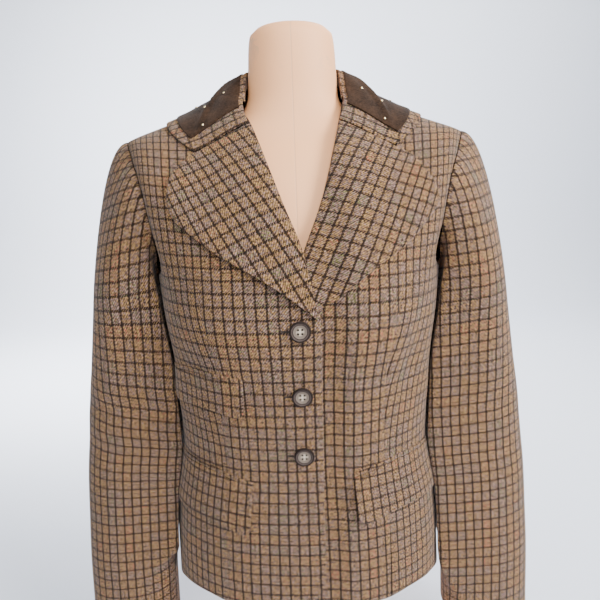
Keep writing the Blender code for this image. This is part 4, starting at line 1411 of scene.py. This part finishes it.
for name, side, first, last, front_z, middle_z, back_z, depth in FLAPS:
    for kind, deep, top, shift, thick, height_off in (
        ("flap", depth, 0.0, 0.0, FLAP_TWEED, flap_height),
        ("jet", JET_DEPTH, JET_DEPTH + JET_GAP, FLAP_SHIFT, JET_TWEED, jet_height),
    ):
        place = flap_place(first, last, front_z, middle_z, back_z, deep, top)
        length = math.radians(last - first) * body_section(front_z)[0] * FLAP_ARC_SHARE
        face = on_body(side, place, height_off)
        weave = shifted_weave(weave_of(side, place), FLAP_SHIFT, shift)
        piece = tweed_piece(f"{kind}_{name}", face, weave, (length, deep), thick, spacing=SMALL_SPACING)


# The buttons: horn with a dark raised rim and a paler mottled dish, four holes and thread sewn through
# them. Each stands on a buttonhole that is cut from the front's edge side and worked over in thread.
BUTTON_TOP_Z = 0.516
BUTTON_SPACING = 0.072
BUTTON_COUNT = 3
BUTTON_OFF_CENTRE = 0.001
BUTTON_RADIUS = 0.011
BUTTON_THICKNESS = 0.0036
BUTTON_HOLE_RADIUS = 0.00095
BUTTON_HOLE_CENTRE = 0.0021
BUTTON_GAP = 0.0004
BUTTON_SPOKES = 64
# share of the radius, share of the thickness
BUTTON_PROFILE = (
    (0.0, 0.52), (0.20, 0.53), (0.40, 0.56), (0.54, 0.62), (0.63, 0.72), (0.68, 0.78), (0.71, 0.78),
    (0.74, 0.74), (0.77, 0.76), (0.81, 0.90), (0.86, 0.99), (0.90, 1.00), (0.95, 0.94), (0.985, 0.78),
    (1.0, 0.55), (0.98, 0.34), (0.90, 0.14), (0.60, 0.0), (0.0, 0.0),
)
# share of the radius, colour
HORN_COLOURS = (
    (0.0, (0.62, 0.52, 0.40)),
    (0.27, (0.52, 0.43, 0.33)),
    (0.43, (0.190, 0.145, 0.110)),
    (0.60, (0.200, 0.160, 0.130)),
    (0.66, (0.012, 0.007, 0.006)),
    (0.72, (0.060, 0.045, 0.040)),
    (0.79, (0.085, 0.062, 0.055)),
    (0.84, (0.009, 0.005, 0.004)),
    (1.0, (0.006, 0.003, 0.003)),
)
HORN_STREAK_SHARE = 0.45
HORN_STREAK_COLOUR = (0.070, 0.052, 0.042, 1)
# Painted shade in and round the thread holes, darker than the horn
HOLE_SHADE_COLOUR = (0.010, 0.006, 0.005, 1)
THREAD_RADIUS = 0.00028
# how far out towards a hole's middle the thread comes up
THREAD_SHARE = 0.50
# share of the way from hole to hole, share of the button's thickness
THREAD_PATH = ((0, 0.2), (0, 0.52), (0.25, 0.60), (0.75, 0.60), (1, 0.52), (1, 0.2))
# name, darker colour, paler colour
THREADS = (
    ("button_thread", (0.30, 0.24, 0.17), (0.52, 0.43, 0.32)),
    ("buttonhole_thread", (0.016, 0.010, 0.007), (0.050, 0.032, 0.022)),
)

horn, tree, shader = finish("mottled_horn", 0.38)
shader.inputs["Specular IOR Level"].default_value = 0.06
flat = node(tree, "ShaderNodeUVMap", uv_map="dial").outputs[0]
radius = vector_maths(tree, "LENGTH", {0: flat}, "Value")
clouds = speckle(tree, flat, 260.0, 4.0)
streaks = speckle(
    tree, node(tree, "ShaderNodeMapping", {"Vector": flat, "Scale": (1.0, 0.3, 1.0)}).outputs[0], 700.0, 3.0
)
from_middle = maths(tree, "DIVIDE", radius, BUTTON_RADIUS)
reach = maths(tree, "ADD", from_middle, maths(tree, "MULTIPLY", maths(tree, "SUBTRACT", clouds, 0.5), 0.12))
rings_of_horn = colour_ramp(tree, reach, HORN_COLOURS)
streak = maths(tree, "MULTIPLY", streaks, HORN_STREAK_SHARE)
streaked = colour_mix(tree, streak, rings_of_horn, HORN_STREAK_COLOUR)
quarter = vector_maths(tree, "ABSOLUTE", {0: flat})
hole_centre = (BUTTON_HOLE_CENTRE, BUTTON_HOLE_CENTRE, 0)
from_hole = vector_maths(tree, "DISTANCE", {0: quarter, 1: hole_centre}, "Value")
# Painted shade: the holes' walls and a thin ring round each are darkened
hole_shade_mask = maths(tree, "LESS_THAN", from_hole, 1.25 * BUTTON_HOLE_RADIUS)
tree.links.new(colour_mix(tree, hole_shade_mask, streaked, HOLE_SHADE_COLOUR), shader.inputs["Base Color"])

threads_of = {}
for name, dark_end, pale_end in THREADS:
    threads_of[name], tree, shader = finish(name, 0.75)
    place = object_place(tree)
    strands = colour_ramp(tree, speckle(tree, place, 2500.0, 2.0), ((0.3, dark_end), (0.7, pale_end)))
    tree.links.new(strands, shader.inputs["Base Color"])


def add_tube(build, points, radius, spokes=8):
    """A closed tube along points, in a mesh being built."""
    rings = []
    for i, point in enumerate(points):
        before, after = points[max(i - 1, 0)], points[min(i + 1, len(points) - 1)]
        frame_at = (after - before).to_track_quat("Z", "Y").to_matrix()
        angles = [2 * math.pi * s / spokes for s in range(spokes)]
        rings.append(
            [build.verts.new(point + frame_at @ Vector((math.cos(a), math.sin(a), 0)) * radius) for a in angles]
        )
    for low, high in zip(rings, rings[1:]):
        for s in range(spokes):
            t = (s + 1) % spokes
            build.faces.new((low[s], low[t], high[t], high[s]))
    build.faces.new(list(reversed(rings[0])))
    build.faces.new(rings[-1])


threads = bmesh.new()
for row in range(BUTTON_COUNT):
    turn, rise = front_place(BUTTON_OFF_CENTRE, BUTTON_TOP_Z - row * BUTTON_SPACING)
    normal = body_normal(-1, turn, rise)
    centre = body_point(-1, turn, rise) + normal * BUTTON_GAP
    seat_at = seat(centre, normal)

    build = bmesh.new()
    profile = [(share * BUTTON_RADIUS, tall * BUTTON_THICKNESS) for share, tall in BUTTON_PROFILE]
    turned_shape(build, profile, BUTTON_SPOKES, Matrix.Identity(4))
    blank = bpy.data.objects.new("blank", mesh_of(build, "blank"))
    drill = bmesh.new()
    for x, y in ((-1, -1), (1, -1), (-1, 1), (1, 1)):
        bmesh.ops.create_cone(
            drill, cap_ends=True, segments=20, radius1=BUTTON_HOLE_RADIUS, radius2=BUTTON_HOLE_RADIUS,
            depth=4 * BUTTON_THICKNESS,
            matrix=Matrix.Translation((BUTTON_HOLE_CENTRE * x, BUTTON_HOLE_CENTRE * y, 0)),
        )
    cutter = bpy.data.objects.new("drill", mesh_of(drill, "drill"))
    for item in (blank, cutter):
        bpy.context.scene.collection.objects.link(item)
    cut = blank.modifiers.new("thread holes", "BOOLEAN")
    cut.object = cutter
    drilled = bpy.data.meshes.new_from_object(blank.evaluated_get(bpy.context.evaluated_depsgraph_get()))
    drilled.name = f"horn_button_{row + 1}"
    for item in (blank, cutter):
        bpy.data.objects.remove(item)

    dial = drilled.uv_layers.new(name="dial")
    for loop in drilled.loops:
        dial.data[loop.index].uv = drilled.vertices[loop.vertex_index].co.xy
    drilled.transform(seat_at)
    button = add_piece(f"horn_button_{row + 1}", drilled, horn, "horn", f"button_{row + 1}")
    button.data.set_sharp_from_angle(angle=math.radians(40))
    for side in (-1, 1):
        low, high = (Vector((side, y * THREAD_SHARE, 0)) * BUTTON_HOLE_CENTRE for y in (-1, 1))
        path = [
            seat_at @ (mix(low, high, along) + Vector((0, 0, tall * BUTTON_THICKNESS)))
            for along, tall in THREAD_PATH
        ]
        add_tube(threads, path, THREAD_RADIUS)
add_piece("button_thread", mesh_of(threads, "button_thread"), threads_of["button_thread"], "tweed")


# The buttonholes: worked through the wearer's right front in dark brown thread, from just past the
# button's middle out towards the side, with close stitches round a narrow slit.
HOLE_LENGTH = 0.0205
HOLE_HALF_WIDTH = 0.0011
HOLE_STITCHES = 34
STITCH_RADIUS = 0.00042
HOLE_START = 0.003
SLIT_HALF_WIDTH = 0.0002
# How far a stitch stands out of the cloth: at the slit, halfway and at its outer end
STITCH_OUT = (-0.0001, 0.0003, -0.0002)
BAR_PAST_END = 0.0003
BAR_OUT = 0.0002
BAR_RADIUS = 1.4 * STITCH_RADIUS

worked = bmesh.new()
for row in range(BUTTON_COUNT):
    height = BUTTON_TOP_Z - row * BUTTON_SPACING

    def on_front(across, up, out):
        turn, rise = front_place(across, height + up)
        return body_point(-1, turn, rise) + body_normal(-1, turn, rise) * out

    start = BUTTON_OFF_CENTRE - HOLE_START
    for i in range(HOLE_STITCHES):
        across = start + HOLE_LENGTH * i / (HOLE_STITCHES - 1)
        for way in (-1, 1):
            inner, outer = way * SLIT_HALF_WIDTH, way * HOLE_HALF_WIDTH
            ups = (inner, mix(inner, outer, 0.5), outer)
            stitch = [on_front(across, up, out) for up, out in zip(ups, STITCH_OUT)]
            add_tube(worked, stitch, STITCH_RADIUS, 6)
    bar_at = start + HOLE_LENGTH + BAR_PAST_END
    bar = [on_front(bar_at, up, BAR_OUT) for up in (-HOLE_HALF_WIDTH, 0.0, HOLE_HALF_WIDTH)]
    add_tube(worked, bar, BAR_RADIUS)
add_piece(
    "buttonhole_stitches", mesh_of(worked, "buttonhole_stitches"), threads_of["buttonhole_thread"], "tweed"
)
